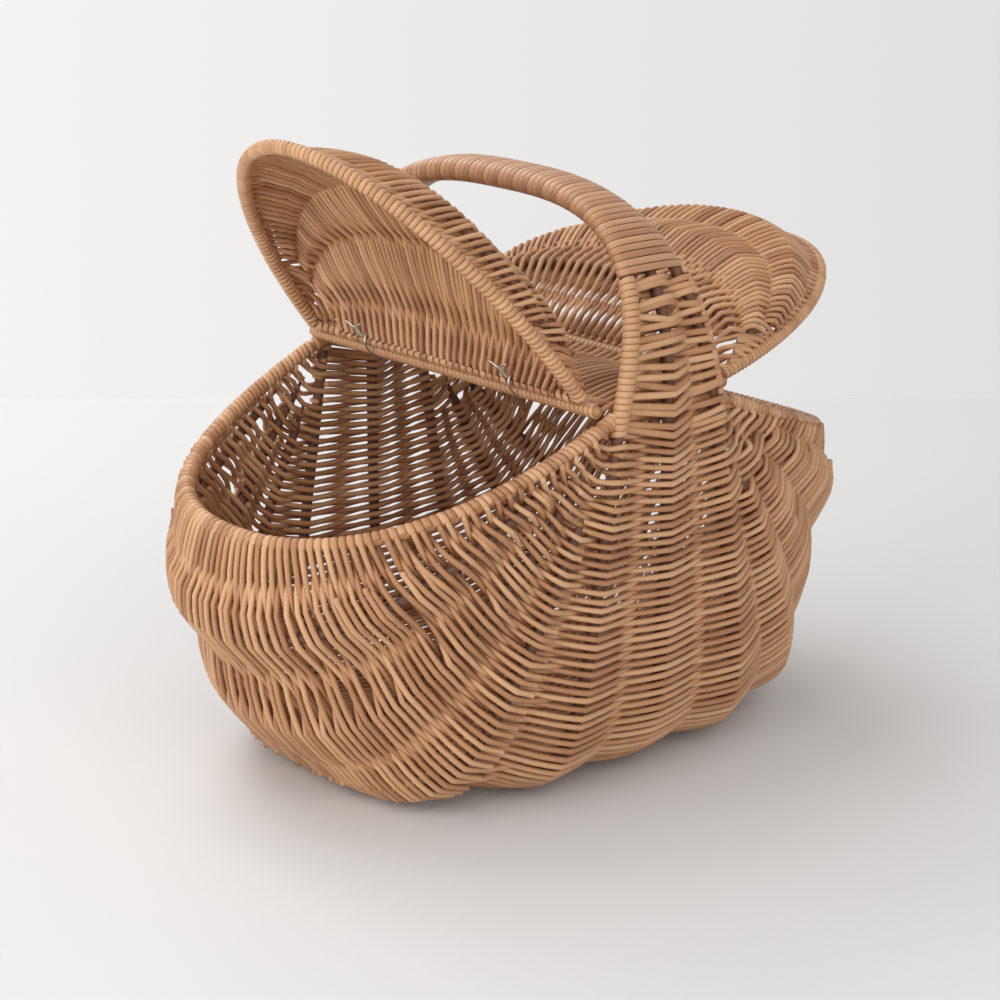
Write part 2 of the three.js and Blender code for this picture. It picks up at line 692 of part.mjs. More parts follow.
// Wire ties: the bar and the lid's base rod turn in them
const TIE_BEND = BAR_RADIUS + 2 * CLEAR + WIRE_RADIUS;
const TIE_REACH = TIE_BEND + WIRE_RADIUS + CLEAR;
const tieNames = [['near', -1], ['far', 1]];
const NOTCH_SLOPE = 2;
const NOTCH_TOLERANCE = 0.1;
const notchPlaces = tieNames.flatMap(([, side]) => [-1, -1, 1, 1].map((end, i) => (
  side * TIE_SPACING + end * (TIE_NOTCH / 2 + (i % 3 === 0 ? NOTCH_SLOPE : 0)))));
const inNotch = (y) => Math.abs(Math.abs(y) - TIE_SPACING) < TIE_NOTCH / 2 + NOTCH_TOLERANCE;

// Fixed panel between the bars, with one rib along its middle
const PANEL_SETBACK = 1.5;
const PANEL_RIB_SETBACK = 2;
const PANEL_END = RIM_HALF_WIDTH - RIM_RADIUS - PANEL_SETBACK;
const panelOuter = PANEL_RIB_RADIUS + PANEL_ROD;

function panelWeave() {
  const stations = [-PANEL_END, ...notchPlaces, PANEL_END];
  const outer = [];
  const inner = [];
  for (const y of stations) {
    const reach = BAR_X - (inNotch(y) ? TIE_REACH : BAR_RADIUS + CLEAR);
    const places = [{ length: reach, radius: PANEL_RIB_RADIUS, open: true }];
    const edges = [PANEL_HOLLOW, PANEL_HOLLOW];
    const columns = ribColumns(places, [0, 2 * reach], -WEAVE_INNER, panelOuter, PANEL_HOLLOW, edges);
    outer.push(columns.map((c) => new THREE.Vector3(c.length - reach, y, BAR_HEIGHT + c.outer)));
    inner.push(columns.map((c) => new THREE.Vector3(c.length - reach, y, BAR_HEIGHT + c.inner)));
  }
  return plate(outer, inner);
}

addMesh(basket, 'panel_weave', panelWeave(), weaverWillow);
const panelRib = addMesh(basket, 'panel_rib',
  straightRod(PANEL_RIB_RADIUS, PANEL_END - PANEL_RIB_SETBACK), frameWillow);
panelRib.position.set(0, 0, BAR_HEIGHT);

// Lid shell in its own frame: the bar's axis is Y, x points away from the handle, z to the domed side
const lidSection = (() => {
  const points = [];
  for (let i = 0; i <= CURVE_STEPS; i += 1) {
    const share = i / CURVE_STEPS;
    const power = share < 0.5 ? LID_DOME_POWER.base : LID_DOME_POWER.hoop;
    const dome = LID_DOME * (1 - Math.abs(2 * share - 1) ** power);
    points.push(new THREE.Vector3(LID_BASE_OFFSET + (LID_LENGTH - LID_BASE_OFFSET) * share, 0, dome));
  }
  return { points, total: lengths(points) };
})();

const lid = new RibbedShell({
  corner: () => new THREE.Vector3(LID_BASE_OFFSET, 0, 0),
  middle: (s) => pointAt(lidSection.points, lidSection.total, s * lidSection.total.at(-1)),
  power: (s) => between([[0, 3], [0.5, 2.3], [1, LID_POWER]], s),
  sag: () => 0,
  halfWidth: () => LID_HALF_WIDTH,
  heart: new THREE.Vector3(LID_LENGTH / 2, 0, -LID_LENGTH),
});

const baseLength = 2 * LID_HALF_WIDTH;
const middleRib = lid.ribLength(0.5);
const cornerShares = CORNER_STATIONS.map((many) => (many * LID_HOOP_RADIUS) / middleRib);
const notchShares = notchPlaces.map((y) => (y + LID_HALF_WIDTH) / baseLength);
const tipShares = [0.34, 0.42, 0.46, 0.5, 0.54, 0.58, 0.66];
const lidStations = [...cornerShares, ...notchShares, ...tipShares, ...cornerShares.map((t) => 1 - t)]
  .sort((a, b) => a - b);
const hoopTip = (t) => new THREE.Vector3(BAR_RADIUS + 2 * CLEAR, (t - 0.5) * baseLength, 0);
const lidHoopLine = [hoopTip(0), ...[0, ...lidStations, 1].map((t) => lid.at(1, t)), hoopTip(1)];
const baseLine = [hoopTip(0), hoopTip(1)].map((point) => point.setX(LID_BASE_OFFSET));
const lidRibs = Array.from({ length: LID_RIBS }, (_, i) => i + 1);
const BASE_LIP = 0.8;
const LID_ROW_STEPS = 80;

function lidFan(t, row) {
  const full = row.total.at(-1);
  const notch = inNotch(t * baseLength - LID_HALF_WIDTH);
  return {
    from: notch ? TIE_REACH : clearOf(row, baseLine, LID_BASE_RADIUS + BASE_LIP, false),
    to: full - clearOf(row, lidHoopLine, LID_HOOP_RADIUS + RIM_LIP, true),
    lengths: lidRibs.map((i) => row.total[(i * LID_ROW_STEPS) / (LID_RIBS + 1)]),
    radius: LID_RIB_RADIUS,
  };
}

const lidStarts = firstStations(lidStations, middleRib, (t) => lidFan(t, lid.row(t, 0, 1, LID_ROW_STEPS)));

function lidColumns(t, row) {
  const { from, to, lengths: places, radius } = lidFan(t, row);
  const ribs = places.map((length, i) => ({ length, radius, begun: hasBegun(lidStarts[i], t) }));
  const edges = [LID_BASE_RADIUS, LID_HOOP_RADIUS];
  return ribColumns(fanPlaces(from, to, ribs), [from, to], -WEAVE_INNER, LID_OUTER, HOLLOW, edges);
}

function tieLine(y) {
  const points = [];
  for (const [centre, from] of [[LID_BASE_OFFSET, -0.5], [0, 0.5]]) {
    for (let i = 0; i <= BEND_STEPS; i += 1) {
      const angle = (from + i / BEND_STEPS) * Math.PI;
      points.push(new THREE.Vector3(centre + TIE_BEND * Math.cos(angle), y, TIE_BEND * Math.sin(angle)));
    }
  }
  return points;
}

for (const [name, side, open] of sides) {
  const hinge = new THREE.Group();
  hinge.position.set(side * BAR_X, 0, BAR_HEIGHT);
  hinge.rotation.y = -side * THREE.MathUtils.degToRad(open);
  const frame = new THREE.Group();
  frame.rotation.z = side > 0 ? 0 : Math.PI;
  hinge.add(frame);
  basket.add(hinge);
  const prefix = `${name}_lid`;
  addMesh(frame, `${prefix}_hoop`, rod(lidHoopLine, LID_HOOP_RADIUS, WRAPPED_SIDES, upRef), weaverWillow);
  const base = addMesh(frame, `${prefix}_base_rod`,
    straightRod(LID_BASE_RADIUS, LID_HALF_WIDTH - LID_HOOP_RADIUS - CLEAR), weaverWillow);
  base.position.x = LID_BASE_OFFSET;
  for (const i of lidRibs) {
    const first = lidStarts[i - 1] + RIB_SETBACK / middleRib;
    const stations = [first, ...lidStations.filter((t) => t > first && t < 1 - first), 1 - first];
    const line = stations.map((t) => lid.at(i / (LID_RIBS + 1), t));
    addMesh(frame, `${prefix}_rib_${i}`, rod(line, LID_RIB_RADIUS, FRAME_SIDES, upRef), frameWillow);
  }
  addMesh(frame, `${prefix}_weave`,
    wovenPlate(lid, lidStations, 0, 1, LID_ROW_STEPS, lidColumns), weaverWillow);
  for (const [end, across] of tieNames) {
    const line = tieLine(across * TIE_SPACING);
    addMesh(frame, `${prefix}_tie_${end}`, rod(line, WIRE_RADIUS, WIRE_SIDES, acrossRef, true), steel);
  }
}

export default basket;
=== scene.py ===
# %% [markdown]
# # A willow picnic basket
# The basket is a frame basket: a few stout rods make a skeleton, and thin willow rods are woven over
# and under it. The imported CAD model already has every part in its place, as plain solids. This lesson
# dresses it: each solid is replaced by the rods that the real part is made of.
#
# Its bodies (the basket and the two lids) move at the hinges, and every piece that is made here rides
# on one of them.

import math

import bpy
import numpy as np
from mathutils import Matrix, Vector


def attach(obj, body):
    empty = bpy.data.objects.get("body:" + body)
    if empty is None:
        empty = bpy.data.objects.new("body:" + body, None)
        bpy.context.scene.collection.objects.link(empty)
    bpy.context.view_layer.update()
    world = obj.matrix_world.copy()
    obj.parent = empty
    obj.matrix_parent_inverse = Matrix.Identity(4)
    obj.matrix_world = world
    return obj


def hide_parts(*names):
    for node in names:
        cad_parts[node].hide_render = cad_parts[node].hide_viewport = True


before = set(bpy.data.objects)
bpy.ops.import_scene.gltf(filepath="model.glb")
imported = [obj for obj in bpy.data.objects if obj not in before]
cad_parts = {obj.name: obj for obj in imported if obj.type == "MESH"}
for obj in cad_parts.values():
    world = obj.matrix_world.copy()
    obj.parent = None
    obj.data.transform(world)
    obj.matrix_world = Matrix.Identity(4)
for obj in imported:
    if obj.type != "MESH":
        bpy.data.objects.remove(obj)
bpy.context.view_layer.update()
scene = bpy.context.scene
scene.view_settings.view_transform = "Standard"

# %% [markdown]
# ## Camera
# The camera stands where the photograph's camera stood. Its place, its two angles and its lens were
# worked out from the ellipse of the rim and the corners of the body. A long lens keeps the sides of
# the basket almost parallel, as in a studio photograph.

# %% Camera
CAMERA_PLACE = Vector((-1.2733, -1.4191, 0.7582))
CAMERA_YAW = math.radians(41.67)
CAMERA_PITCH = math.radians(-17.2)
SENSOR_WIDTH_MM, LENS_MM = 36, 100.8
BASKET_MIDDLE = Vector((0, 0, 0.2))

camera_data = bpy.data.cameras.new("photo_camera")
camera_data.sensor_width = SENSOR_WIDTH_MM
camera_data.lens = LENS_MM
camera = bpy.data.objects.new("photo_camera", camera_data)
camera.location = CAMERA_PLACE
camera.rotation_euler = (math.pi / 2 + CAMERA_PITCH, 0, -CAMERA_YAW)
scene.collection.objects.link(camera)
scene.camera = camera
print("camera", round((CAMERA_PLACE - BASKET_MIDDLE).length, 2), "m from the basket")

# %% [markdown]
# ## Materials and nodes
# A material is a tree of nodes, and so is the world. Both can be built by hand in Blender's editor, but
# a script can be read and run again. Four small helpers set a node's inputs, add a node, join nodes and
# start a material, so that each finish below is a short list of what it is made of.

# %% Helpers for nodes
FLOOR_LOOK = {"Base Color": (0.745, 0.745, 0.745, 1), "Roughness": 0.8}


def set_inputs(node, values):
    """Sets inputs of a node, by name or by number."""
    for label, value in values.items():
        node.inputs[label].default_value = value


def add_node(tree, kind, inputs=None, operation=None):
    """Adds a node of a kind to a tree."""
    node = tree.nodes.new(kind)
    if operation:
        node.operation = operation
    set_inputs(node, inputs or {})
    return node


def join(tree, *joints):
    """Links nodes: each joint names a node and its output, then the next node and its input."""
    for source, output, target, entry in joints:
        tree.links.new(source.outputs[output], target.inputs[entry])


def new_material(name, look):
    """Starts a material with values for its shader, and returns it, its tree and its shader."""
    material = bpy.data.materials.new(name)
    material.use_nodes = True
    shader = material.node_tree.nodes["Principled BSDF"]
    set_inputs(shader, look)
    return material, material.node_tree, shader


floor_paint = new_material("floor_paint", FLOOR_LOOK)[0]
print("first finish:", floor_paint.name)

# %% [markdown]
# ## Floor
# The photograph has a pale floor that meets a pale wall a little behind the basket. A curved backdrop
# would hide that line, so the floor is one flat sheet that ends on it. In front and at the sides it
# ends before the lamps, so that no lamp cuts it in any view.

# %% Floor
FLOOR_BEHIND, FLOOR_BEFORE, FLOOR_ASIDE = 0.9, 1.6, 1.5
forward = Vector((math.sin(CAMERA_YAW), math.cos(CAMERA_YAW), 0))
sideways = Vector((math.cos(CAMERA_YAW), -math.sin(CAMERA_YAW), 0))


def floor_corner(along, across):
    """A corner of the floor, measured from the basket along and across the camera's view."""
    return forward * along + sideways * across


floor_mesh = bpy.data.meshes.new("floor")
floor_mesh.from_pydata(
    [floor_corner(-FLOOR_BEFORE, -FLOOR_ASIDE), floor_corner(-FLOOR_BEFORE, FLOOR_ASIDE),
     floor_corner(FLOOR_BEHIND, FLOOR_ASIDE), floor_corner(FLOOR_BEHIND, -FLOOR_ASIDE)],
    [], [(0, 1, 2, 3)])
floor = bpy.data.objects.new("floor", floor_mesh)
scene.collection.objects.link(floor)
floor_mesh.materials.append(floor_paint)
print("floor ends", FLOOR_BEHIND, "m behind the basket")

# %% [markdown]
# ## Wall
# The wall could be a second sheet, but then it would throw light and shadows of its own. Here it is
# the colour of the world, and only the camera and mirror-like surfaces see it. In the photograph it
# gets darker towards the right, so its strength follows how far to the right a ray looks. All other
# rays get a weak fill light instead.

# %% World
# WALL_LEFT to WALL_RIGHT is painted shade: the wall's strength falls towards the right, where less light
# reaches it.
WALL_COLOUR, WALL_LEFT, WALL_RIGHT, WALL_REACH = (1, 0.992, 0.985, 1), 0.905, 0.750, 0.18
FILL_LIGHT = {"Color": (1, 0.99, 0.98, 1), "Strength": 0.50}

world = bpy.data.worlds.new("studio")
scene.world = world
world.use_nodes = True
tree = world.node_tree
tree.nodes.clear()
world_out = add_node(tree, "ShaderNodeOutputWorld")
fill = add_node(tree, "ShaderNodeBackground", FILL_LIGHT)
wall = add_node(tree, "ShaderNodeBackground", {"Color": WALL_COLOUR})
look = add_node(tree, "ShaderNodeTexCoord")
how_far_right = add_node(tree, "ShaderNodeVectorMath", {1: sideways}, operation="DOT_PRODUCT")
wall_painted_shade = add_node(tree, "ShaderNodeMapRange", {
    "From Min": -WALL_REACH, "From Max": WALL_REACH, "To Min": WALL_LEFT, "To Max": WALL_RIGHT})
ray = add_node(tree, "ShaderNodeLightPath")
camera_or_glossy = add_node(tree, "ShaderNodeMath", operation="MAXIMUM")
any_of_three = add_node(tree, "ShaderNodeMath", operation="MAXIMUM")
seen = add_node(tree, "ShaderNodeMixShader")
join(tree,
     (look, "Generated", how_far_right, 0), (how_far_right, "Value", wall_painted_shade, "Value"),
     (wall_painted_shade, "Result", wall, "Strength"),
     (ray, "Is Camera Ray", camera_or_glossy, 0), (ray, "Is Glossy Ray", camera_or_glossy, 1),
     (camera_or_glossy, 0, any_of_three, 0), (ray, "Is Transmission Ray", any_of_three, 1),
     (any_of_three, 0, seen, "Fac"), (fill, 0, seen, 1), (wall, 0, seen, 2),
     (seen, 0, world_out, "Surface"))
print("wall strength from", WALL_LEFT, "to", WALL_RIGHT)

# %% [markdown]
# ## Lamps
# One small lamp would give a hard shadow, so the light comes from four broad ones: a key lamp above
# and to the left, a large lamp low on the left, a weaker one in front, and a weak one above the back.
# The shadow is soft and falls to the right, as in the photograph.

# %% Lamps
# Places are in metres from the basket: along the camera's view, to its right, and up.
LAMPS = (
    ("key_lamp", (0.5, -0.9, 2.2), 1.4, 15, BASKET_MIDDLE),
    ("left_fill_lamp", (-1.7, -1.9, 1.0), 2.6, 41, BASKET_MIDDLE),
    ("front_fill_lamp", (-2.4, 0.9, 1.6), 2.0, 25, BASKET_MIDDLE),
    ("back_lamp", (1.6, -0.8, 1.5), 1.4, 12, forward * 0.5),
)
for name, (along, across, up), size, watts, aim in LAMPS:
    place = forward * along + sideways * across + Vector((0, 0, up))
    lamp_data = bpy.data.lights.new(name, "AREA")
    lamp_data.size = size
    lamp_data.energy = watts
    lamp = bpy.data.objects.new(name, lamp_data)
    lamp.location = place
    lamp.rotation_euler = (aim - place).to_track_quat("-Z", "Y").to_euler()
    scene.collection.objects.link(lamp)
print("lamps:", [row[0] for row in LAMPS])

# %% [markdown]
# ## Many rods in one mesh
# A basket has hundreds of rods. One Blender curve for each would be slow, so a bundle collects the
# rods as rings of points and makes a single mesh of them. A rod's cross-section is a superellipse: its
# width lies along the basket's surface and its thickness across it, so that a rod which is pressed by
# its neighbours can get narrower, and a flat strip can have a flat back. Every point keeps a tone, one
# number for each rod, and the length run so far: the willow material uses both to make every rod a
# little different.

# %% Helpers for lines
def unit(vectors):
    """Vectors of length one."""
    return vectors / np.maximum(np.linalg.norm(vectors, axis=-1, keepdims=True), 1e-12)


def running_length(points):
    """Length along a line of points, from 0 at its start."""
    return np.concatenate([[0], np.cumsum(np.linalg.norm(np.diff(points, axis=0), axis=1))])


def along_line(points, shares):
    """Points at shares of a line's own length."""
    total = running_length(points)
    places = np.asarray(shares) * total[-1]
    return np.stack([np.interp(places, total, points[:, k]) for k in range(3)], -1)


def superellipse(wave, power):
    """A sine or cosine, changed so that a circle becomes a superellipse of that power."""
    return np.sign(wave) * np.abs(wave) ** (2 / power)


def strand(path, outward, width, thickness, flatness=2.0):
    """A table of a rod's points: place, surface direction, width, thickness, flatness of section."""
    sizes = [np.broadcast_to(np.asarray(v, float), len(path)) for v in (width, thickness, flatness)]
    return np.column_stack([path, outward, *sizes])


print("lengths along a bent line:", running_length(np.array([[0, 0, 0], [3, 4, 0], [3, 4, 12]])))

# %% Rod bundle
SIDES, FRAME_SIDES = 8, 12


class Bundle:
    """Rods that share one mesh, and the seed of their random differences."""

    def __init__(self, seed):
        self.random = np.random.default_rng(seed)
        self.points, self.quads, self.tones, self.runs, self.count = [], [], [], [], 0

    def rod(self, table, tone=None, closed=False, sides=SIDES):
        """Adds a rod from its strand table."""
        path, outward = table[:, :3], table[:, 3:6]
        width, thickness, flatness = (table[:, k, None] for k in (6, 7, 8))
        if closed:
            ahead, behind = np.roll(path, -1, 0), np.roll(path, 1, 0)
        else:
            ahead, behind = np.vstack([path[1:], path[-1:]]), np.vstack([path[:1], path[:-1]])
        along = unit(ahead - behind)
        outward = unit(outward - along * np.sum(outward * along, 1, keepdims=True))
        across = np.cross(along, outward)
        angles = 2 * np.pi * np.arange(sides) / sides
        wide = width / 2 * superellipse(np.cos(angles)[None], flatness)
        deep = thickness / 2 * superellipse(np.sin(angles)[None], flatness)
        rings = path[:, None] + across[:, None] * wide[..., None] + outward[:, None] * deep[..., None]
        count = len(path)
        i = np.arange(count if closed else count - 1)[:, None] * sides
        j = np.arange(sides)[None]
        after, beside = (i + sides) % (count * sides), (j + 1) % sides
        quads = np.stack([i + j, i + beside, after + beside, after + j], -1).reshape(-1, 4)
        if not closed:
            first = [[k + 1, k, sides - 1 - k, sides - 2 - k] for k in range(sides // 2 - 1)]
            last = [[a + (count - 1) * sides for a in reversed(quad)] for quad in first]
            quads = np.vstack([quads, first, last])
        tone = self.random.random() if tone is None else tone
        self.points.append(rings.reshape(-1, 3))
        self.quads.append(quads + self.count)
        self.tones.append(np.full(count * sides, tone))
        self.runs.append(np.repeat(running_length(path), sides) + self.random.random())
        self.count += count * sides

    def piece(self, name, material, body, nodes, slot, place=None):
        """Makes the mesh, rides it on a body and lets it stand for CAD nodes."""
        points = np.vstack(self.points)
        if place is not None:
            points = place(points)
        quads = np.vstack(self.quads)
        mesh = bpy.data.meshes.new(name)
        mesh.vertices.add(len(points))
        mesh.vertices.foreach_set("co", points.ravel())
        mesh.loops.add(quads.size)
        mesh.loops.foreach_set("vertex_index", quads.ravel())
        mesh.polygons.add(len(quads))
        mesh.polygons.foreach_set("loop_start", np.arange(0, quads.size, 4))
        mesh.polygons.foreach_set("use_smooth", np.ones(len(quads), bool))
        for label, values in (("tone", self.tones), ("run", self.runs)):
            attribute = mesh.attributes.new(label, "FLOAT", "POINT")
            attribute.data.foreach_set("value", np.concatenate(values))
        mesh.update(calc_edges=True)
        mesh.validate()
        mesh.materials.append(material)
        thing = bpy.data.objects.new(name, mesh)
        scene.collection.objects.link(thing)
        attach(thing, body)
        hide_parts(*nodes)
        print(f"{name}: {len(self.tones)} rods, {len(quads)} faces")


print("a weaver has", SIDES, "sides, a frame rod", FRAME_SIDES)

# %% [markdown]
# ## Willow
# Buff willow is boiled in its bark, which stains it a warm tan. No two rods have the same shade, and
# each is smooth and a little shiny along its length, with faint lines and a few darker patches. An
# image of willow would repeat and would need a flat layout of every rod, so the material is made of
# noise: it reads a rod's tone for its shade, and stretches a noise along the rod for the bands. The
# frame rods are darker and less shiny; their dark colour is painted shade, the shade in which they lie
# between and behind the weavers and inside the basket.

# %% Willow material
PATCHES, BANDS, GRAIN = {"Scale": 22, "Detail": 3}, {"Scale": 45, "Detail": 4}, {"Scale": 900, "Detail": 2}
TONE_WEIGHT, BAND_WEIGHT, PATCH_WEIGHT, SHADE_BASE = 0.62, 0.45, 0.3, -0.02
DARK_BELOW, MIDDLE_AT, LIGHT_ABOVE = 0.12, 0.5, 0.95
GRAIN_RELIEF = {"Strength": 0.25, "Distance": 0.0004}


def willow(name, dark, middle, light, roughness):
    """A willow finish between three shades, which are stain on the weavers and strips and painted shade on
    the frame rods.
    """
    material, tree, shader = new_material(name, {"Roughness": roughness})
    tone, run = add_node(tree, "ShaderNodeAttribute"), add_node(tree, "ShaderNodeAttribute")
    tone.attribute_name, run.attribute_name = "tone", "run"
    place = add_node(tree, "ShaderNodeTexCoord")
    patches = add_node(tree, "ShaderNodeTexNoise", PATCHES)
    spot = add_node(tree, "ShaderNodeCombineXYZ")
    bands = add_node(tree, "ShaderNodeTexNoise", BANDS)
    grain = add_node(tree, "ShaderNodeTexNoise", GRAIN)
    shade, with_bands, with_patches = (
        add_node(tree, "ShaderNodeMath", weights, operation="MULTIPLY_ADD")
        for weights in ({1: TONE_WEIGHT, 2: SHADE_BASE}, {1: BAND_WEIGHT}, {1: PATCH_WEIGHT}))
    ramp = add_node(tree, "ShaderNodeValToRGB")
    first, last = ramp.color_ramp.elements
    first.position, first.color = DARK_BELOW, (*dark, 1)
    last.position, last.color = LIGHT_ABOVE, (*light, 1)
    ramp.color_ramp.elements.new(MIDDLE_AT).color = (*middle, 1)
    bump = add_node(tree, "ShaderNodeBump", GRAIN_RELIEF)
    join(tree,
         (place, "Object", patches, "Vector"), (place, "Object", grain, "Vector"),
         (run, "Fac", spot, "X"), (tone, "Fac", spot, "Y"), (spot, "Vector", bands, "Vector"),
         (tone, "Fac", shade, 0), (bands, "Fac", with_bands, 0), (shade, 0, with_bands, 2),
         (patches, "Fac", with_patches, 0), (with_bands, 0, with_patches, 2),
         (with_patches, 0, ramp, "Fac"), (ramp, "Color", shader, "Base Color"),
         (grain, "Fac", bump, "Height"), (bump, "Normal", shader, "Normal"))
    return material


print("noises of the willow:", PATCHES, BANDS, GRAIN)

# %% Three kinds of willow
weaver_willow = willow(
    "weaver_willow", (0.27, 0.106, 0.044), (0.46, 0.225, 0.104), (0.64, 0.372, 0.195), 0.42)
# The frame's three dark shades are painted shade: these rods are seen between and behind the weavers and
# inside the basket, where shade falls on them.
frame_willow = willow(
    "frame_willow", (0.075, 0.028, 0.014), (0.13, 0.052, 0.026), (0.20, 0.088, 0.045), 0.55)
strip_willow = willow(
    "strip_willow", (0.27, 0.112, 0.050), (0.42, 0.205, 0.098), (0.56, 0.31, 0.163), 0.36)
print("finishes:", [m.name for m in (weaver_willow, frame_willow, strip_willow)])

# %% [markdown]
# ## The shape that the ribs give
# Every rib is a superellipse that runs from the near ear to the far ear. The ribs fan out from the ears
# like the segments of an orange. One function gives a point of that shell for a rib s and an angle, and
# the shell is kept as a grid, so that a row of weaving can be laid anywhere on it. These are the same
# formulas and sizes that the CAD model is made from.

# %% Sizes of the body
RIM_HALF_LENGTH, RIM_HALF_WIDTH = 0.244, 0.152
RIM_POWER, BASE_POWER = 2.32, 7.5
EAR_HEIGHT, TIP_HEIGHT, KEEL_HEIGHT, RIM_SAG = 0.268, 0.195, 0.0086, 0.045
HOOP_HALF_WIDTH, HOOP_HALF_SPACING, HOOP_PLACE = 0.1555, 0.0435, 0.2
FOOT_RIB, LOWER_RIB, UPPER_RIB = 0.4, 0.6, 0.8
RIB_POWERS = [0, 0.2, 0.5, 0.8, 1], [6.2, 6.2, 2.65, 2.4, RIM_POWER]
RIB_HALF_WIDTHS = [0, HOOP_PLACE, FOOT_RIB, 1], [HOOP_HALF_WIDTH] * 2 + [RIM_HALF_WIDTH] * 2
BODY_HEART = np.array([0, 0, 0.154])
RIB_TURNS = np.linspace(-np.pi / 2, np.pi / 2, 241)
print("rim", 2 * RIM_HALF_LENGTH, "by", 2 * RIM_HALF_WIDTH, "m")


# %% Shell of ribs
def bent(turn, power):
    """How far across and how far out a superellipse is at an angle."""
    return superellipse(np.sin(turn), power), np.abs(np.cos(turn)) ** (2 / power)


class Shell:
    """A surface of ribs: s picks the rib, t is a share of that rib's length."""

    def __init__(self, rib, first, last, heart, columns=241, rows=361):
        self.first, self.last = first, last
        shares = np.linspace(0, 1, rows)
        self.places = np.linspace(first, last, columns)
        self.grid = np.array([along_line(rib(s, RIB_TURNS), shares) for s in self.places])
        self.lengths = np.array([running_length(line)[-1] for line in self.grid])
        outward = unit(np.cross(np.gradient(self.grid, axis=0), np.gradient(self.grid, axis=1)))
        flip = np.sum(outward * (self.grid - heart), -1, keepdims=True) < 0
        self.outward = np.where(flip, -outward, outward)

    def read(self, table, s, t):
        """A table's value between its grid places."""
        columns, rows = table.shape[:2]
        x = np.clip((np.asarray(s) - self.first) / (self.last - self.first), 0, 1) * (columns - 1)
        y = np.clip(np.asarray(t), 0, 1) * (rows - 1)
        i, j = np.minimum(x.astype(int), columns - 2), np.minimum(y.astype(int), rows - 2)
        a, b = (x - i)[..., None], (y - j)[..., None]
        return ((1 - a) * ((1 - b) * table[i, j] + b * table[i, j + 1])
                + a * ((1 - b) * table[i + 1, j] + b * table[i + 1, j + 1]))

    def point(self, s, t):
        """Points of the surface."""
        return self.read(self.grid, s, t)

    def normal(self, s, t):
        """Directions straight out of the surface."""
        return unit(self.read(self.outward, s, t))

    def rib_length(self, s):
        """Length of the rib at s."""
        return np.interp(s, self.places, self.lengths)


print("halfway round a quarter of a circle:", bent(np.pi / 4, 2))

# %% Body shell
END_SWELL = [0, 0.2, 0.5, 0.8, 1], [0, 0.034, -0.017, -0.022, 0]
SECTION_POINTS = 401


def smooth_between(value, places, values):
    """Reads a table of places and values with soft steps."""
    places, values = np.array(places), np.array(values)
    value = np.clip(value, places[0], places[-1])
    i = np.clip(np.searchsorted(places, value, "right") - 1, 0, len(places) - 2)
    share = (value - places[i]) / (places[i + 1] - places[i])
    return values[i] + (values[i + 1] - values[i]) * (1 - np.cos(np.pi * share)) / 2


section_turn = np.linspace(0, np.pi / 2, SECTION_POINTS)
section_depth = np.abs(np.cos(section_turn)) ** (2 / BASE_POWER)
section_reach = RIM_HALF_LENGTH * np.sin(section_turn) ** (2 / BASE_POWER)
section = np.stack([
    section_reach + smooth_between(section_depth, *END_SWELL) * section_reach / RIM_HALF_LENGTH,
    np.zeros_like(section_turn),
    TIP_HEIGHT - (TIP_HEIGHT - KEEL_HEIGHT) * section_depth], -1)


def body_rib(s, turn):
    """The body's rib at s, from -1 at the left half of the rim to 1 at the right half."""
    size = abs(s)
    across, out = bent(turn, np.interp(size, *RIB_POWERS))
    corner_x = np.sign(s) * HOOP_HALF_SPACING * min(1, size / HOOP_PLACE)
    middle = along_line(section, [size])[0]
    drop = out + np.interp(size, [UPPER_RIB, 1], [0, RIM_SAG]) * np.sin(np.pi * out)
    return np.stack([corner_x + (np.sign(s) * middle[0] - corner_x) * out,
                     np.interp(size, *RIB_HALF_WIDTHS) * across,
                     EAR_HEIGHT + (middle[2] - EAR_HEIGHT) * drop], -1)


body = Shell(body_rib, -1, 1, BODY_HEART)
print("half of the rim:", round(float(body.rib_length(1)), 3), "m")

# %% [markdown]
# ## Weaving a row
# A weaver passes one rib on the outside and the next on the inside, and its neighbour does the opposite.
# Willow is stiff, so between two ribs the rod runs almost straight, and it bends only where it passes
# a rib: that gives the basket its kinks. A smooth curve through all the ribs would look like string.
# The rods of two neighbouring rows cross between the ribs, where they press on each other and look
# narrower. At an edge a rod turns round the edge's own rod.

# %% Weaver's path
STEPS = np.array([0, 0.06, 0.16, 0.32, 0.5, 0.68, 0.84, 0.94])
STRAIGHTNESS = 0.7
ROUNDING = 0.55


def swing(u):
    """How far a rod has gone from one side to the other, at a share u of the way between two ribs."""
    return u - ROUNDING * np.sin(2 * np.pi * u) / (2 * np.pi)


def weaver_path(shell, stakes, shares, offsets, straightness):
    """Line of a weaver past its stakes, its surface direction, and 0 at a stake to 1 midway.

    stakes are rib places s, shares the place t along each rib, offsets how far outside each rib it runs.
    """
    stakes, shares, offsets = (np.asarray(v, float) for v in (stakes, shares, offsets))
    knots = shell.point(stakes, shares)
    normals = shell.normal(stakes, shares)
    u = np.append(np.tile(STEPS, len(stakes) - 1), 0)
    i = np.append(np.repeat(np.arange(len(stakes) - 1), len(STEPS)), len(stakes) - 1)
    j = np.minimum(i + 1, len(stakes) - 1)
    mix = u[:, None]
    s = stakes[i] + (stakes[j] - stakes[i]) * u
    t = shares[i] + (shares[j] - shares[i]) * u
    straight = knots[i] + (knots[j] - knots[i]) * mix
    curved = shell.point(s, t)
    outward = unit(normals[i] + (normals[j] - normals[i]) * mix)
    lift = offsets[i] + (offsets[j] - offsets[i]) * swing(u)
    path = straightness * straight + (1 - straightness) * curved + outward * lift[:, None]
    return path, outward, np.sin(np.pi * u)


print("a weaver has", len(STEPS), "points from rib to rib")

# %% Turning over an edge
TURN_POINTS, SHORT_WAY_ALONG, SHORT_WAY_IN = 8, 0.004, 0.1


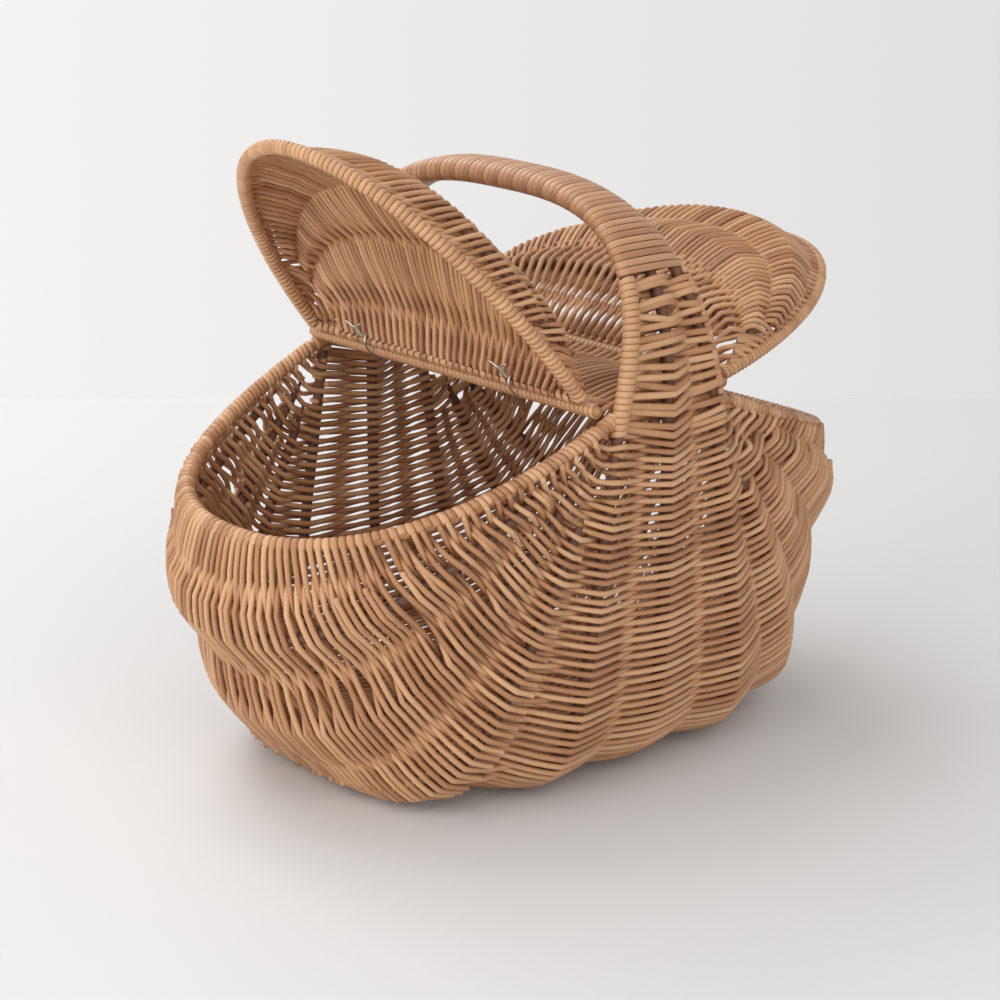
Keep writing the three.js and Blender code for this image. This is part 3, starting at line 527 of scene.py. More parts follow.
def turned(rod, shell, stake, share, radius, angles, size, slant=0.0):
    """Carries a strand's last end round the rod at the edge of its shell.

    Angle 0 is straight outside of that rod, 90 is beyond it and 180 is inside. size is the strand's
    width, thickness and flatness there, slant the share of the edge that it moves on by.
    """
    outward = rod[-1, 3:6]
    sense = 1 if stake > (shell.first + shell.last) / 2 else -1
    centre = shell.point(stake, share)
    rod_way = unit(shell.point(stake, share + SHORT_WAY_ALONG) - shell.point(stake, share - SHORT_WAY_ALONG))
    inner = shell.point(stake - sense * SHORT_WAY_IN, share)
    beyond = unit((centre - inner) - rod_way * np.dot(centre - inner, rod_way))
    out = np.cross(rod_way, beyond)
    out = out * np.sign(np.dot(out, outward))
    part = np.linspace(0, 1, TURN_POINTS)
    angle = np.radians(angles[0] + (angles[1] - angles[0]) * part)[:, None]
    around = np.cos(angle) * out + np.sin(angle) * beyond
    centres = shell.point(np.full(TURN_POINTS, stake), share + slant * part)
    return np.vstack([rod[:-1], strand(centres + around * radius, around, *size)])


def edge_start(shell, stake, share, width):
    """A strand with which a wrap round the edge at stake can start."""
    return strand(shell.point([stake] * 2, [share] * 2), shell.normal([stake] * 2, [share] * 2), width, width)


print("a rod turns over an edge in", TURN_POINTS, "points")

# %% [markdown]
# ## Body weave: where the rows run
# The rows run from the rim at one end, under the basket and up to the rim at the other end. The hoops
# are longer than the rim, so there is room for more rows in the middle. Wherever two more fit, a pair
# of short rods is laid in that goes only to a lower or upper rib and ends inside the basket. Rows that
# are spread evenly on every rib would need no short rods, but then they would be crowded on the rim
# and loose under the basket.
#
# The rows that reach the rim are counted in groups of four. Each group has a number of wraps, the
# places on the rim where a rod turns over it: all four rods near the ears, three further on, and two
# at the tips, where the rim is close to the neighbouring rib and every second rod stays tucked inside.

# %% Places of the rows
ROD = 0.0043
HOOP_RADIUS, RIB_RADIUS, RIM_CORE_RADIUS = 0.004, 0.0036, 0.0034
ROWS_PER_GROUP = 4
WRAPS_OF_GROUP = [4] * 6 + [3] * 5 + [2] * 18 + [3] * 5 + [4] * 6
WIDTH_OF_GROUP = [min(wraps, 3) for wraps in WRAPS_OF_GROUP]
GROUP_STARTS = np.cumsum([0] + WIDTH_OF_GROUP)
RIM_ROWS, RIM_WIDTH = ROWS_PER_GROUP * len(WRAPS_OF_GROUP), sum(WIDTH_OF_GROUP)
HOOP_ROWS, ROW_LEAN = 240, 0.07

# Each row of the body is None where it is short, or its number among the rows that reach the rim.
row_numbers, rim_places = [], []
for number in range(RIM_ROWS):
    group, place = divmod(number, ROWS_PER_GROUP)
    in_group = (place + 0.5) / ROWS_PER_GROUP * WIDTH_OF_GROUP[group]
    on_rim = (GROUP_STARTS[group] + in_group) / RIM_WIDTH
    rim_places.append(on_rim)
    on_hoop = on_rim - ROW_LEAN * math.sin(2 * math.pi * on_rim) * math.sin(math.pi * on_rim)
    if on_hoop * HOOP_ROWS - len(row_numbers) >= 2:
        row_numbers += [None, None]
    row_numbers.append(number)
body_rows = len(row_numbers)
full_places = [k for k, number in enumerate(row_numbers) if number is not None]
on_rim_of_row = np.interp(np.arange(body_rows), full_places, rim_places)
print("rows:", body_rows, "of which short:", row_numbers.count(None))
print("wraps on half the rim:", sum(WRAPS_OF_GROUP))

# %% Rows on a rib
HOOP_FIRST, RIM_FIRST = 0.012, 0.015
MIDDLE_SAG, SAG_REACH = 0.0165, 0.10
RIM_PULL = [FOOT_RIB, LOWER_RIB, UPPER_RIB, 1], [0, 0.15, 0.4, 1]
RIB_STARTS = {FOOT_RIB: 0.0693, LOWER_RIB: 0.0506, UPPER_RIB: 0.0896}
WEAVE_STARTS = {FOOT_RIB: 0.105, LOWER_RIB: 0.078, UPPER_RIB: 0.112}


def row_share(size, k, on_rim=None):
    """Share of the rib at size (0 middle hoop, 1 rim) at which row k passes it."""
    at_hoop = (k + 0.5) / body_rows
    at_rim = on_rim_of_row[k] if on_rim is None else on_rim
    row = at_hoop + (at_rim - at_hoop) * np.interp(size, *RIM_PULL)
    first = np.interp(size, [0, HOOP_PLACE, 1], [HOOP_FIRST, HOOP_FIRST, RIM_FIRST])
    first = first / body.rib_length(size)
    share = first + row * (1 - 2 * first)
    sag = MIDDLE_SAG * (np.exp(-share / SAG_REACH) - np.exp((share - 1) / SAG_REACH))
    return share + sag * max(0, 1 - size / HOOP_PLACE)


def passed_ribs(k):
    """The ribs of one half that row k passes, from the hoop outwards."""
    return [s for s, start in WEAVE_STARTS.items() if start < row_share(s, k) < 1 - start]


print("row 60 passes the ribs", passed_ribs(60), "on both sides")

# %% [markdown]
# ## Body weave: how a row ends
# A rod that arrives at the rim on the outside turns over it and into the basket. One that arrives on
# the inside turns over it the other way and is cut off where its group has a wrap for it, and otherwise
# only leans on the rim from inside. Each wrap leans a little along the rim. At the left foot rib many
# rods end on the outside, and a new one is laid in behind them, because a real rod isn't long enough
# for the whole row.

# %% Ends at the rim
# For each number of wraps, where a group's four rods lie on the rim, and which of them are cut off. The
# first list is for an end at which the even rods arrive inside, the second for one where they don't.
RIM_SLOTS = {4: ([0.5, 1.5, 2.5, 3.5], [0.5, 1.5, 2.5, 3.5]),
             3: ([0.5, 1.5, 2.0, 2.5], [0.5, 1.0, 1.5, 2.5]),
             2: ([0.0, 0.5, 1.0, 1.5], [0.5, 1.0, 1.5, 2.0])}
RIM_CUTS = {4: ([0, 1, 2, 3], [0, 1, 2, 3]), 3: ([0], [3]), 2: ([], [])}
OVER_THE_RIM, BACK_OVER_THE_RIM, TUCKED = (-38, 205), (222, -24), (225, 180)
RIM_TURN_RADIUS, RIM_SLANT = 0.0046, 0.008
WRAP_WIDTH = (body.rib_length(1) - 2 * RIM_FIRST) / RIM_WIDTH
WRAP_THICKNESS, WRAP_FLATNESS = 0.0028, 2.4


def rim_end(number, outside):
    """Where on the rim a row ends, and its turn there: angles, width of the wrap, sense of its slant."""
    group, place = divmod(number, ROWS_PER_GROUP)
    wraps = WRAPS_OF_GROUP[group]
    even_outside = int(outside == (place % 2 == 0))
    cut = place in RIM_CUTS[wraps][even_outside]
    wrap = WIDTH_OF_GROUP[group] / wraps
    share = (GROUP_STARTS[group] + RIM_SLOTS[wraps][even_outside][place] * wrap) / RIM_WIDTH
    over = OVER_THE_RIM if outside else BACK_OVER_THE_RIM if cut else TUCKED
    if cut and not outside:
        return share + RIM_SLANT * math.cos(math.pi * share), (over, wrap * WRAP_WIDTH, -1)
    return share, (over, wrap * WRAP_WIDTH, 1)


print("a wrap is", round(float(WRAP_WIDTH) * 1000, 2), "mm wide")

# %% One rod of the body
THINNEST, THIN_SPREAD = 0.93, 0.12
CROSSING_PITCHES, CROSSING_LEAST = 1.25, 0.6
crossing_width = CROSSING_PITCHES * (body.rib_length(LOWER_RIB) / body_rows)
shifts = np.random.default_rng(seed=5)


def lay(bundle, points, turns, straightness):
    """Lays one rod past points (rib, share, offset); turns says how its two ends go over the rim."""
    stakes, shares, offsets = np.array(points).T
    thin = THINNEST + THIN_SPREAD * shifts.random()
    path, outward, crossing = weaver_path(body, stakes, shares, offsets, straightness)
    width = thin * np.clip(ROD - (ROD - crossing_width) * crossing, CROSSING_LEAST * ROD, ROD)
    rod = strand(path, outward, width, ROD * thin)
    for end, turn in zip((-1, 1), turns):
        if turn:
            share = shares[0] if end < 0 else shares[-1]
            angles, wrap_width, sense = turn
            slant = sense * RIM_SLANT * math.cos(math.pi * share)
            size = (wrap_width, WRAP_THICKNESS, WRAP_FLATNESS)
            rod = turned(rod[::end], body, float(end), share, RIM_TURN_RADIUS, angles, size, slant)[::end]
    bundle.rod(rod)


print("a rod is", ROD * 1000, "mm wide, and", round(crossing_width * 1000, 2), "mm where two cross")

# %% One row of the body
ROW_WOBBLE = 0.12
HIDDEN_END_REACH, HIDDEN_END_LEAN, HIDDEN_END_DEPTH = 0.09, 0.3, -0.7
OLD_END_REACH, OLD_END_LIFT = 0.05, 0.8
NEW_END_REACH, NEW_END_DEPTH = 0.04, -0.0005


def with_cuts(points, cuts):
    """Splits a row where a rod ends outside the left foot rib and a new one is laid in behind it."""
    rods, current = [], []
    for i, (s, share, offset) in enumerate(points):
        current.append((s, share, offset))
        if i in cuts:
            rods.append([*current, (s + OLD_END_REACH, share, OLD_END_LIFT * offset)])
            current = [(s - NEW_END_REACH, share, NEW_END_DEPTH)]
    return [*rods, current]


def half_row(k, number, first_sign, last_rib):
    """Points (rib, share, offset) of row k from an outer hoop to its end, and its turn over the rim."""
    stakes = [HOOP_PLACE] + [s for s in passed_ribs(k) if s <= last_rib]
    radii = [HOOP_RADIUS] + [RIB_RADIUS] * (len(stakes) - 1)
    offsets = [(-1) ** i * first_sign * (radius + ROD / 2) for i, radius in enumerate(radii)]
    points = [(s, row_share(s, k) + shifts.normal(0, ROW_WOBBLE / body_rows), offset)
              for s, offset in zip(stakes, offsets)]
    sign = -np.sign(offsets[-1])
    if number is not None:
        place, turn = rim_end(number, sign > 0)
        return [*points, (1.0, row_share(1.0, k, place), sign * (RIM_CORE_RADIUS + ROD / 2))], turn
    s, share, offset = points[-1]
    if offset > 0:
        points.append((s + HIDDEN_END_REACH, share + HIDDEN_END_LEAN / body_rows, HIDDEN_END_DEPTH * offset))
    return points, None


print("a row with one cut has", len(with_cuts([(-1, 0, 0), (-FOOT_RIB, 0, 0), (0, 0, 0)], [1])), "rods")

# %% All rows of the body
MIDDLE_FROM, SHORTER_ROWS, SHORTER_OUT_OF = 0.33, 5, 15
CUT_CHANCE = 0.6
SHORT_ROW_POINTS, SHORT_ROW_STRAIGHTNESS = 5, 0.25
halves = {"near": Bundle(seed=11), "far": Bundle(seed=12)}

for k, number in enumerate(row_numbers):
    from_ear = min(k, body_rows - k) / body_rows
    shorter = from_ear > MIDDLE_FROM or k % SHORTER_OUT_OF < SHORTER_ROWS
    last_rib = 1.0 if number is not None else LOWER_RIB if shorter else UPPER_RIB
    middle_sign = (-1) ** k
    right, turn = half_row(k, number, -middle_sign, last_rib)
    left, _ = half_row(k, number, -middle_sign, last_rib)
    left = [(-s, share, offset) for s, share, offset in reversed(left)]
    points = [*left, (0.0, row_share(0, k), middle_sign * (HOOP_RADIUS + ROD / 2)), *right]
    cuts = [i for i, (s, _, offset) in enumerate(points)
            if s == -FOOT_RIB and offset > 0 and shifts.random() < CUT_CHANCE]
    rods = with_cuts(points, cuts)
    straightness = STRAIGHTNESS if len(points) > SHORT_ROW_POINTS else SHORT_ROW_STRAIGHTNESS
    for i, rod_points in enumerate(rods):
        turns = (turn if i == 0 else None, turn if i == len(rods) - 1 else None)
        lay(halves["near" if k < body_rows / 2 else "far"], rod_points, turns, straightness)

for half, bundle in halves.items():
    bundle.piece(f"body_weavers_{half}", weaver_willow, "basket", ["body_weave"], "weaver_willow")

# %% [markdown]
# ## Frame rods
# The hoops and ribs are stout, smooth rods. They show through the weave and inside the basket. The three
# hoops are closed: they pass under the body and over it as the handle. The CAD model's own hoops would
# do, but a rod of the bundle has the tone and the length that the willow material reads.

# %% Hoops
HANDLE_TOP, HANDLE_POWER, GRIP_HALF_SPACING = 0.4025, 2.86, 0.0115
HANDLE_TURNS = np.linspace(-np.pi / 2, np.pi / 2, 161)
UNDER_POINTS, OVER_POINTS = 120, 100
LENGTHWAYS = np.array([1.0, 0, 0])


def handle_spacing(rise):
    """Distance from the middle hoop to an outer one, where the handle has risen by a share."""
    return HOOP_HALF_SPACING + (GRIP_HALF_SPACING - HOOP_HALF_SPACING) * rise


def handle_line(v):
    """The upper half of a hoop: v is -1, 0 or 1 for the left, middle and right one."""
    across, rise = bent(HANDLE_TURNS, HANDLE_POWER)
    height = EAR_HEIGHT + (HANDLE_TOP - EAR_HEIGHT) * rise
    return np.stack([v * handle_spacing(rise), HOOP_HALF_WIDTH * across, height], -1)


for name, v in (("left", -1), ("middle", 0), ("right", 1)):
    under = body.point(np.full(UNDER_POINTS, v * HOOP_PLACE), np.linspace(0, 1, UNDER_POINTS))
    over = along_line(handle_line(v)[::-1], np.linspace(0, 1, OVER_POINTS))[1:-1]
    ring = np.vstack([under, over])
    table = strand(ring, np.tile(LENGTHWAYS, (len(ring), 1)), 2 * HOOP_RADIUS, 2 * HOOP_RADIUS)
    hoop = Bundle(seed=20 + v)
    hoop.rod(table, closed=True, sides=FRAME_SIDES)
    hoop.piece(f"hoop_rod_{name}", frame_willow, "basket", [f"hoop_{name}"], "frame_willow")

# %% Ribs
TIP_SHARE, TIP_SIZE, RIB_POINTS = 0.03, 0.35, 100


def rib_strand(shell, s, start, radius, count):
    """A frame rib at s, which gets thinner towards its two points."""
    shares = np.linspace(start, 1 - start, count)
    taper = np.clip(np.minimum(shares - start, 1 - start - shares) / TIP_SHARE, TIP_SIZE, 1)
    places, size = np.full(count, s), 2 * radius * taper
    return strand(shell.point(places, shares), shell.normal(places, shares), size, size)


for side_name, side in (("left", -1), ("right", 1)):
    for name, s in (("foot", FOOT_RIB), ("lower", LOWER_RIB), ("upper", UPPER_RIB)):
        rib = Bundle(seed=30)
        rib.rod(rib_strand(body, side * s, RIB_STARTS[s], RIB_RADIUS, RIB_POINTS), sides=FRAME_SIDES)
        rib.piece(f"rib_rod_{name}_{side_name}", frame_willow, "basket",
                  [f"rib_{name}_{side_name}"], "frame_willow")

# %% [markdown]
# ## Rim
# The rim is a stout rod that hardly shows, because the weavers turn over it side by side. It could be
# left out, but then light would shine between two wraps. Close to the ears no weaver reaches it, so a
# few short lengths are wrapped round it there.

# %% Rim core and wraps
RIM_CORE_SIZE, RIM_CORE_TONE, RIM_POINTS = 0.0086, 0.15, 120
EAR_WRAPS, EAR_WRAPS_BACK, EAR_WRAP_WIDTH, EAR_WRAP_TURN = 6, 1.5, 0.7, (-60, 235)
UPWARDS = np.array([0, 0, 1.0])

rim_turns = np.linspace(-np.pi / 2, np.pi / 2, RIM_POINTS)
rim_line = np.vstack([body_rib(1, rim_turns), body_rib(-1, rim_turns)[::-1]])
rim = Bundle(seed=40)
rim.rod(strand(rim_line, np.tile(UPWARDS, (len(rim_line), 1)), RIM_CORE_SIZE, RIM_CORE_SIZE),
        tone=RIM_CORE_TONE, closed=True, sides=FRAME_SIDES)
wrap_size = (EAR_WRAP_WIDTH * WRAP_WIDTH, WRAP_THICKNESS, WRAP_FLATNESS)
for side in (-1, 1):
    for far in (False, True):
        for k in range(EAR_WRAPS):
            share = max(RIM_FIRST * (k - EAR_WRAPS_BACK) / EAR_WRAPS / body.rib_length(1), 0)
            share = 1 - share if far else share
            start = edge_start(body, side, share, ROD)
            slant = RIM_SLANT * math.cos(math.pi * share)
            wrap = turned(start, body, float(side), share, RIM_TURN_RADIUS, EAR_WRAP_TURN, wrap_size, slant)
            rim.rod(wrap[1:])
rim.piece("rim_binding", weaver_willow, "basket", ["rim_hoop"], "weaver_willow")

# %% [markdown]
# ## Handle legs
# Above the ears one weaver after another snakes to and fro across the three hoops. At the right hoop it
# turns round the rod and comes back. The left hoop is bound with a strip of its own, which covers the
# other ends and gives the leg one smooth edge. The legs aren't part of the body's shell, because they
# leave it at the ears, so a leg's points are read from the hoops themselves.

# %% Places on a leg
LEG_TOP, LEG_FOOT, HALF_A_LOOK = 0.0920, 0.012, 0.003
WOUND_POINTS, STILE_POINTS = 12, 40


def leg_point(v, length, far):
    """A point of the handle's surface at a length up from the ear (down where it is negative)."""
    line = handle_line(v)
    total = running_length(line)[-1]
    if length < 0:
        share = -length / body.rib_length(abs(v) * HOOP_PLACE)
        return body.point(v * HOOP_PLACE, 1 - share if far else share)
    return along_line(line, [1 - length / total if far else length / total])[0]


def leg_out(length, far):
    """Direction straight out of the leg."""
    up = leg_point(0, length + HALF_A_LOOK, far) - leg_point(0, length - HALF_A_LOOK, far)
    out = np.cross(LENGTHWAYS, up / np.linalg.norm(up))
    return out * (np.sign(out[1]) * (1 if far else -1))


print("the leg's weave ends at a height of", round(float(leg_point(0, LEG_TOP, False)[2]), 3), "m")


# %% Strip round a rod
def wound(line, across, radius, pitch):
    """A strip wound edge to edge round a line: its centre line, and the directions away from the line."""
    turns = int(running_length(line)[-1] / pitch)
    angle = np.linspace(0, 2 * np.pi * turns, turns * WOUND_POINTS)
    centre = along_line(line, angle / angle[-1])
    ahead = unit(np.gradient(centre, axis=0))
    side = unit(across - ahead * (ahead @ across)[:, None])
    around = side * np.cos(angle)[:, None] + np.cross(ahead, side) * np.sin(angle)[:, None]
    return centre + around * radius, around


strip, _ = wound(np.array([[0, 0, 0], [0.1, 0, 0]]), UPWARDS, HOOP_RADIUS, ROD)
print("0.1 m of rod takes a strip of", round(float(running_length(strip)[-1]), 2), "m")

# %% One weaver of a leg
BACK_ROUND_THE_HOOP = np.radians([30, 60, 90, 120, 150, 180])


def leg_weaver(length, upwards, sign, far):
    """One weaver of a leg: its line from hoop to hoop and round the right one, and its directions."""
    out = leg_out(length, far)
    knots = [leg_point(v, length + up, far) for v, up in zip((-1, 0, 1), upwards)]
    lift = np.array([0, -sign, sign]) * (HOOP_RADIUS + ROD / 2)
    line, outs = [], []
    for i in range(2):
        for u in STEPS:
            raised = lift[i] + (lift[i + 1] - lift[i]) * swing(u)
            line.append(knots[i] + (knots[i + 1] - knots[i]) * u + out * raised)
            outs.append(out)
    line.append(knots[2] + out * lift[2])
    outs.append(out)
    for angle in BACK_ROUND_THE_HOOP:
        around = out * math.cos(angle) * sign + LENGTHWAYS * math.sin(angle)
        line.append(knots[2] + around * (HOOP_RADIUS + ROD / 2))
        outs.append(around)
    return np.array(line), np.array(outs)


line, _ = leg_weaver(0, (0, 0, 0), 1, False)
print("a leg weaver is", round(float(running_length(line)[-1]), 3), "m long at the ear")

# %% Leg weave
LEG_PITCH, LEG_WOBBLE = 0.0030, 0.0016
LEG_SAG, LEG_SAG_REACH = 0.012, 0.045
LEG_ROD_WIDTH, LEG_ROD_THICKNESS, LEG_THINNEST = 1.1, 0.9, 0.95
STILE_PITCH, STILE_RADIUS, STILE_SIZE, STILE_TONE = 0.0042, HOOP_RADIUS + 0.0010, (0.0043, 0.0019, 3.6), 0.6

for end, far in (("near", False), ("far", True)):
    leg = Bundle(seed=50 + far)
    stile = np.array([leg_point(-1, length, far) for length in np.linspace(-LEG_FOOT, LEG_TOP, STILE_POINTS)])
    leg.rod(strand(*wound(stile, LENGTHWAYS, STILE_RADIUS, STILE_PITCH), *STILE_SIZE), tone=STILE_TONE)
    for k in range(int((LEG_TOP + LEG_FOOT) / LEG_PITCH)):
        above_foot = (k + 0.5) * LEG_PITCH
        upwards = leg.random.normal(0, LEG_WOBBLE, 3)
        upwards[1] -= LEG_SAG * math.exp(-above_foot / LEG_SAG_REACH)
        line, outs = leg_weaver(above_foot - LEG_FOOT, upwards, (-1) ** k, far)
        thin = LEG_THINNEST + THIN_SPREAD * leg.random.random()
        leg.rod(strand(line, outs, ROD * LEG_ROD_WIDTH * thin, ROD * LEG_ROD_THICKNESS * thin))
    leg.piece(f"leg_weavers_{end}", weaver_willow, "basket", [f"handle_weave_{end}"], "weaver_willow")

# %% [markdown]
# ## Grip
# The grip is bound with one long flat strip of split willow. It is wound edge to edge round the three
# hoops, so one continuous band is the honest way to make it: its centre line is a helix round an oval
# that gets narrower and fuller towards the top. Rings side by side would be easier, but no strip can
# be wound in rings.

# %% Turns of the strip
STRIP_WIDTH, BINDING_START, POINTS_PER_TURN, HALF_AHEAD = 0.0050, 0.0925, 28, 0.002

grip_middle = handle_line(0)
grip_total = running_length(grip_middle)[-1]
bound_length = grip_total - 2 * BINDING_START
turns = int(round(bound_length / STRIP_WIDTH))
theta = np.linspace(0, 2 * np.pi * turns, turns * POINTS_PER_TURN + 1)
length = BINDING_START + bound_length * theta / theta[-1]
centre = along_line(grip_middle, length / grip_total)
ahead = (along_line(grip_middle, (length + HALF_AHEAD) / grip_total)
         - along_line(grip_middle, (length - HALF_AHEAD) / grip_total))
up = unit(np.cross(np.tile(LENGTHWAYS, (len(ahead), 1)), unit(ahead)))
print("turns of the strip:", turns)

# %% Oval of the grip
GRIP_FULLNESS, GRIP_SIDE_ROOM, GRIP_BACK_ROOM = 0.0028, 0.0012, 0.0014
OVAL_ACROSS_POWER, OVAL_UP_POWER = 3.2, 2.4

rise = (centre[:, 2] - EAR_HEIGHT) / (HANDLE_TOP - EAR_HEIGHT)
half_wide = handle_spacing(rise) + HOOP_RADIUS + GRIP_SIDE_ROOM
half_deep = HOOP_RADIUS + GRIP_BACK_ROOM + GRIP_FULLNESS * rise ** 4
oval_across = superellipse(np.cos(theta), OVAL_ACROSS_POWER) * half_wide
oval_up = superellipse(np.sin(theta), OVAL_UP_POWER) * half_deep
band = centre + LENGTHWAYS * oval_across[:, None] + up * oval_up[:, None]
facing = LENGTHWAYS * (oval_across / half_wide ** 2)[:, None] + up * (oval_up / half_deep ** 2)[:, None]
print("length of the strip:", round(float(running_length(band)[-1]), 2), "m")

# %% Grip binding
STRIP_OVERLAP, STRIP_THICKNESS, STRIP_FLATNESS = 1.02, 0.0016, 3.0
TURN_TONE, TURN_TONE_CHANGE, TURN_TONE_STEP = 0.5, 0.35, 2.1

turn_number = np.repeat(np.floor(theta / (2 * np.pi)), SIDES)
grip = Bundle(seed=60)
grip.rod(strand(band, facing, STRIP_WIDTH * STRIP_OVERLAP, STRIP_THICKNESS, STRIP_FLATNESS))
grip.tones = [TURN_TONE + TURN_TONE_CHANGE * np.sin(turn_number * TURN_TONE_STEP)]
grip.piece("grip_binding", strip_willow, "basket", ["handle_binding"], "strip_willow")

# %% [markdown]
# ## Hinge bars and the fixed panel
# Two bars lie across the rim, one at each side of the handle, and each is bound from end to end with one
# narrow strip. Between them short rods are woven over and under one rib to make a panel that stays shut.
# The panel is flat, so its rods need no shell: each one is a small wave over or under the rib.

# %% Bars
BAR_X, BAR_HEIGHT, BAR_RADIUS, BAR_END = 0.0579, 0.2743, 0.005, 0.151
BAR_CORE_SIZE, BAR_CORE_TONE, BOUND_SHARE = 0.0068, 0.1, 0.98
BAR_STRIP_RADIUS, BAR_STRIP_PITCH, BAR_STRIP_SIZE = 0.0041, 0.0042, (0.0042, 0.0021, 2.4)
LINE_POINTS, PANEL_POINTS = 9, 21


def cross_line(x, end, height):
    """A straight line across the basket, at x and at a height, from -end to end."""
    return np.array([[x, y, height] for y in np.linspace(-end, end, LINE_POINTS)])


def round_rod(line, size):
    """A strand of one thickness along a line that isn't upright."""
    return strand(line, np.tile(UPWARDS, (len(line), 1)), size, size)


for name, side in (("left", -1), ("right", 1)):
    bar = Bundle(seed=70 + side)
    core = cross_line(side * BAR_X, BAR_END, BAR_HEIGHT)
    bar.rod(round_rod(core, BAR_CORE_SIZE), tone=BAR_CORE_TONE)
    strip, away = wound(core * [1, BOUND_SHARE, 1], LENGTHWAYS, BAR_STRIP_RADIUS, BAR_STRIP_PITCH)
    bar.rod(strand(strip, away, *BAR_STRIP_SIZE))
    bar.piece(f"bar_binding_{name}", weaver_willow, "basket", [f"hinge_bar_{name}"], "weaver_willow")

# %% Panel
PANEL_END, PANEL_ROD, PANEL_ROWS = 0.1440, 0.0037, 80
PANEL_RIB_END, PANEL_RIB_RADIUS = 0.1425, 0.003
PANEL_GAP, END_DIP, ARCH_POWER = 0.001, 0.003, 1.4

panel = Bundle(seed=80)
x = np.linspace(-1, 1, PANEL_POINTS)
for k in range(PANEL_ROWS):
    y = -PANEL_END + 2 * PANEL_END * (k + 0.5) / PANEL_ROWS
    sign = 1 if k % 2 == 0 else -1
    arch = (PANEL_RIB_RADIUS + PANEL_ROD / 2) * np.cos(np.pi * x / 2) ** ARCH_POWER
    lift = sign * arch - sign * END_DIP * np.abs(x) ** 3
    line = np.stack([x * (BAR_X - BAR_RADIUS - PANEL_GAP), np.full_like(x, y), BAR_HEIGHT + lift], -1)
    panel.rod(round_rod(line, PANEL_ROD))
panel.piece("panel_weavers", weaver_willow, "basket", ["panel_weave"], "weaver_willow")
panel_rib = Bundle(seed=81)
panel_rib.rod(round_rod(cross_line(0, PANEL_RIB_END, BAR_HEIGHT), 2 * PANEL_RIB_RADIUS), sides=FRAME_SIDES)
panel_rib.piece("panel_rib_rod", frame_willow, "basket", ["panel_rib"], "frame_willow")

# %% [markdown]
# ## Lids: their shape
# A lid is a small basket of its own: a hoop and a straight base rod make its edge, and three ribs give it
# a dome. It is made once in its own place, with the hinge bar as its Y axis and the dome upwards, and then
# turned to the angle at which the photograph shows each of the two lids.

# %% Lid shell
LID_LENGTH, LID_BASE, LID_HALF_WIDTH, LID_DOME = 0.216, 0.0096, 0.1395, 0.039
LID_DOME_POWERS = 2.1, 3
LID_RIB_POWERS = [0, 0.5, 1], [3, 2.3, 1.96]
LID_HEART, LID_SECTION_POINTS = np.array([0.108, 0, -0.216]), 201
# Each lid has its name, its side and the angle in degrees at which it stands open.
LIDS = (("left", -1, 51.4), ("right", 1, 12.9))

lid_share = np.linspace(0, 1, LID_SECTION_POINTS)
dome_power = np.where(lid_share < 0.5, *LID_DOME_POWERS)
lid_section = np.stack([LID_BASE + (LID_LENGTH - LID_BASE) * lid_share, np.zeros_like(lid_share),
                        LID_DOME * (1 - np.abs(2 * lid_share - 1) ** dome_power)], -1)


def lid_rib(s, turn):
    """The lid's rib at s, from 0 at the base rod to 1 at the hoop."""
    across, out = bent(turn, np.interp(s, *LID_RIB_POWERS))
    middle = along_line(lid_section, [s])[0]
    return np.stack([LID_BASE + (middle[0] - LID_BASE) * out, LID_HALF_WIDTH * across, middle[2] * out], -1)


def lid_place(side, open_angle):
    """Moves points from the lid's own place to its hinge bar, open by an angle."""
    angle = -side * math.radians(open_angle)
    cosine, sine = math.cos(angle), math.sin(angle)
    turn = np.array([[cosine, 0, sine], [0, 1, 0], [-sine, 0, cosine]])
    spin = np.diag([side, side, 1.0])
    return lambda points: points @ (turn @ spin).T + np.array([side * BAR_X, 0, BAR_HEIGHT])


lid = Shell(lid_rib, 0, 1, LID_HEART, columns=161, rows=281)
print("lid hoop", round(float(lid.rib_length(1)), 3), "m")

# %% [markdown]
# ## Lids: their weave
# The rods start at the base rod and run out to the hoop. The hoop is longer than the base rod, so they
# start at the base in pairs, and two fillers are laid in beside each pair: one from the first rib and one
# from the second. At the base rod a rod turns over it, or it comes from inside and goes round it in a
# broad knob. The right lid has fewer rods, because the photograph shows more light through it.

# %% Places of the lid's rows
LID_ROWS = {"left": 160, "right": 144}
LID_RIB_STARTS = {0.25: 0.0964, 0.5: 0.0964, 0.75: 0.1261}
LID_FIRST, LID_EVEN_FROM = 0.010, 0.5


def lid_row_share(k, s, rows):
    """Share of the lid's rib s at which row k passes it: evenly on the hoop, by pairs on the base rod."""
    at_hoop = (k + 0.5) / rows
    at_base = (2 * (k // 4) + min(k % 4, 1) + 0.5) / (rows / 2)
    row = at_base + (at_hoop - at_base) * min(1, s / LID_EVEN_FROM)
    return LID_FIRST + row * (1 - 2 * LID_FIRST)


def passed_lid_ribs(k, rows):
    """The ribs of the lid that row k passes, from the base rod outwards."""
    share = lid_row_share(k, 1, rows)
    return [s for s, start in LID_RIB_STARTS.items() if start < share < 1 - start]


print("row 80 of the left lid passes the ribs", passed_lid_ribs(80, LID_ROWS["left"]))

# %% One rod of a lid
LID_ROD, LID_RIB_RADIUS, LID_WOBBLE = 0.0039, 0.003, 0.0009
FILLER_REACH, FILLER_START = 0.12, 0.3
LID_EDGE_STRAIGHTNESS, LID_ROD_THICKNESS, LID_CROSSING_LEAST = 0.1, 0.95, 0.75
LID_BASE_RADIUS, BASE_TURN_RADIUS = 0.0021, 0.0032
AROUND_THE_BASE, UP_TO_THE_BASE = (222, 60), (-40, 110)
KNOB, BASE_TURN_SIZE = (0.0060, 0.0022, 2.2), (LID_ROD, 0.0022, 2.2)


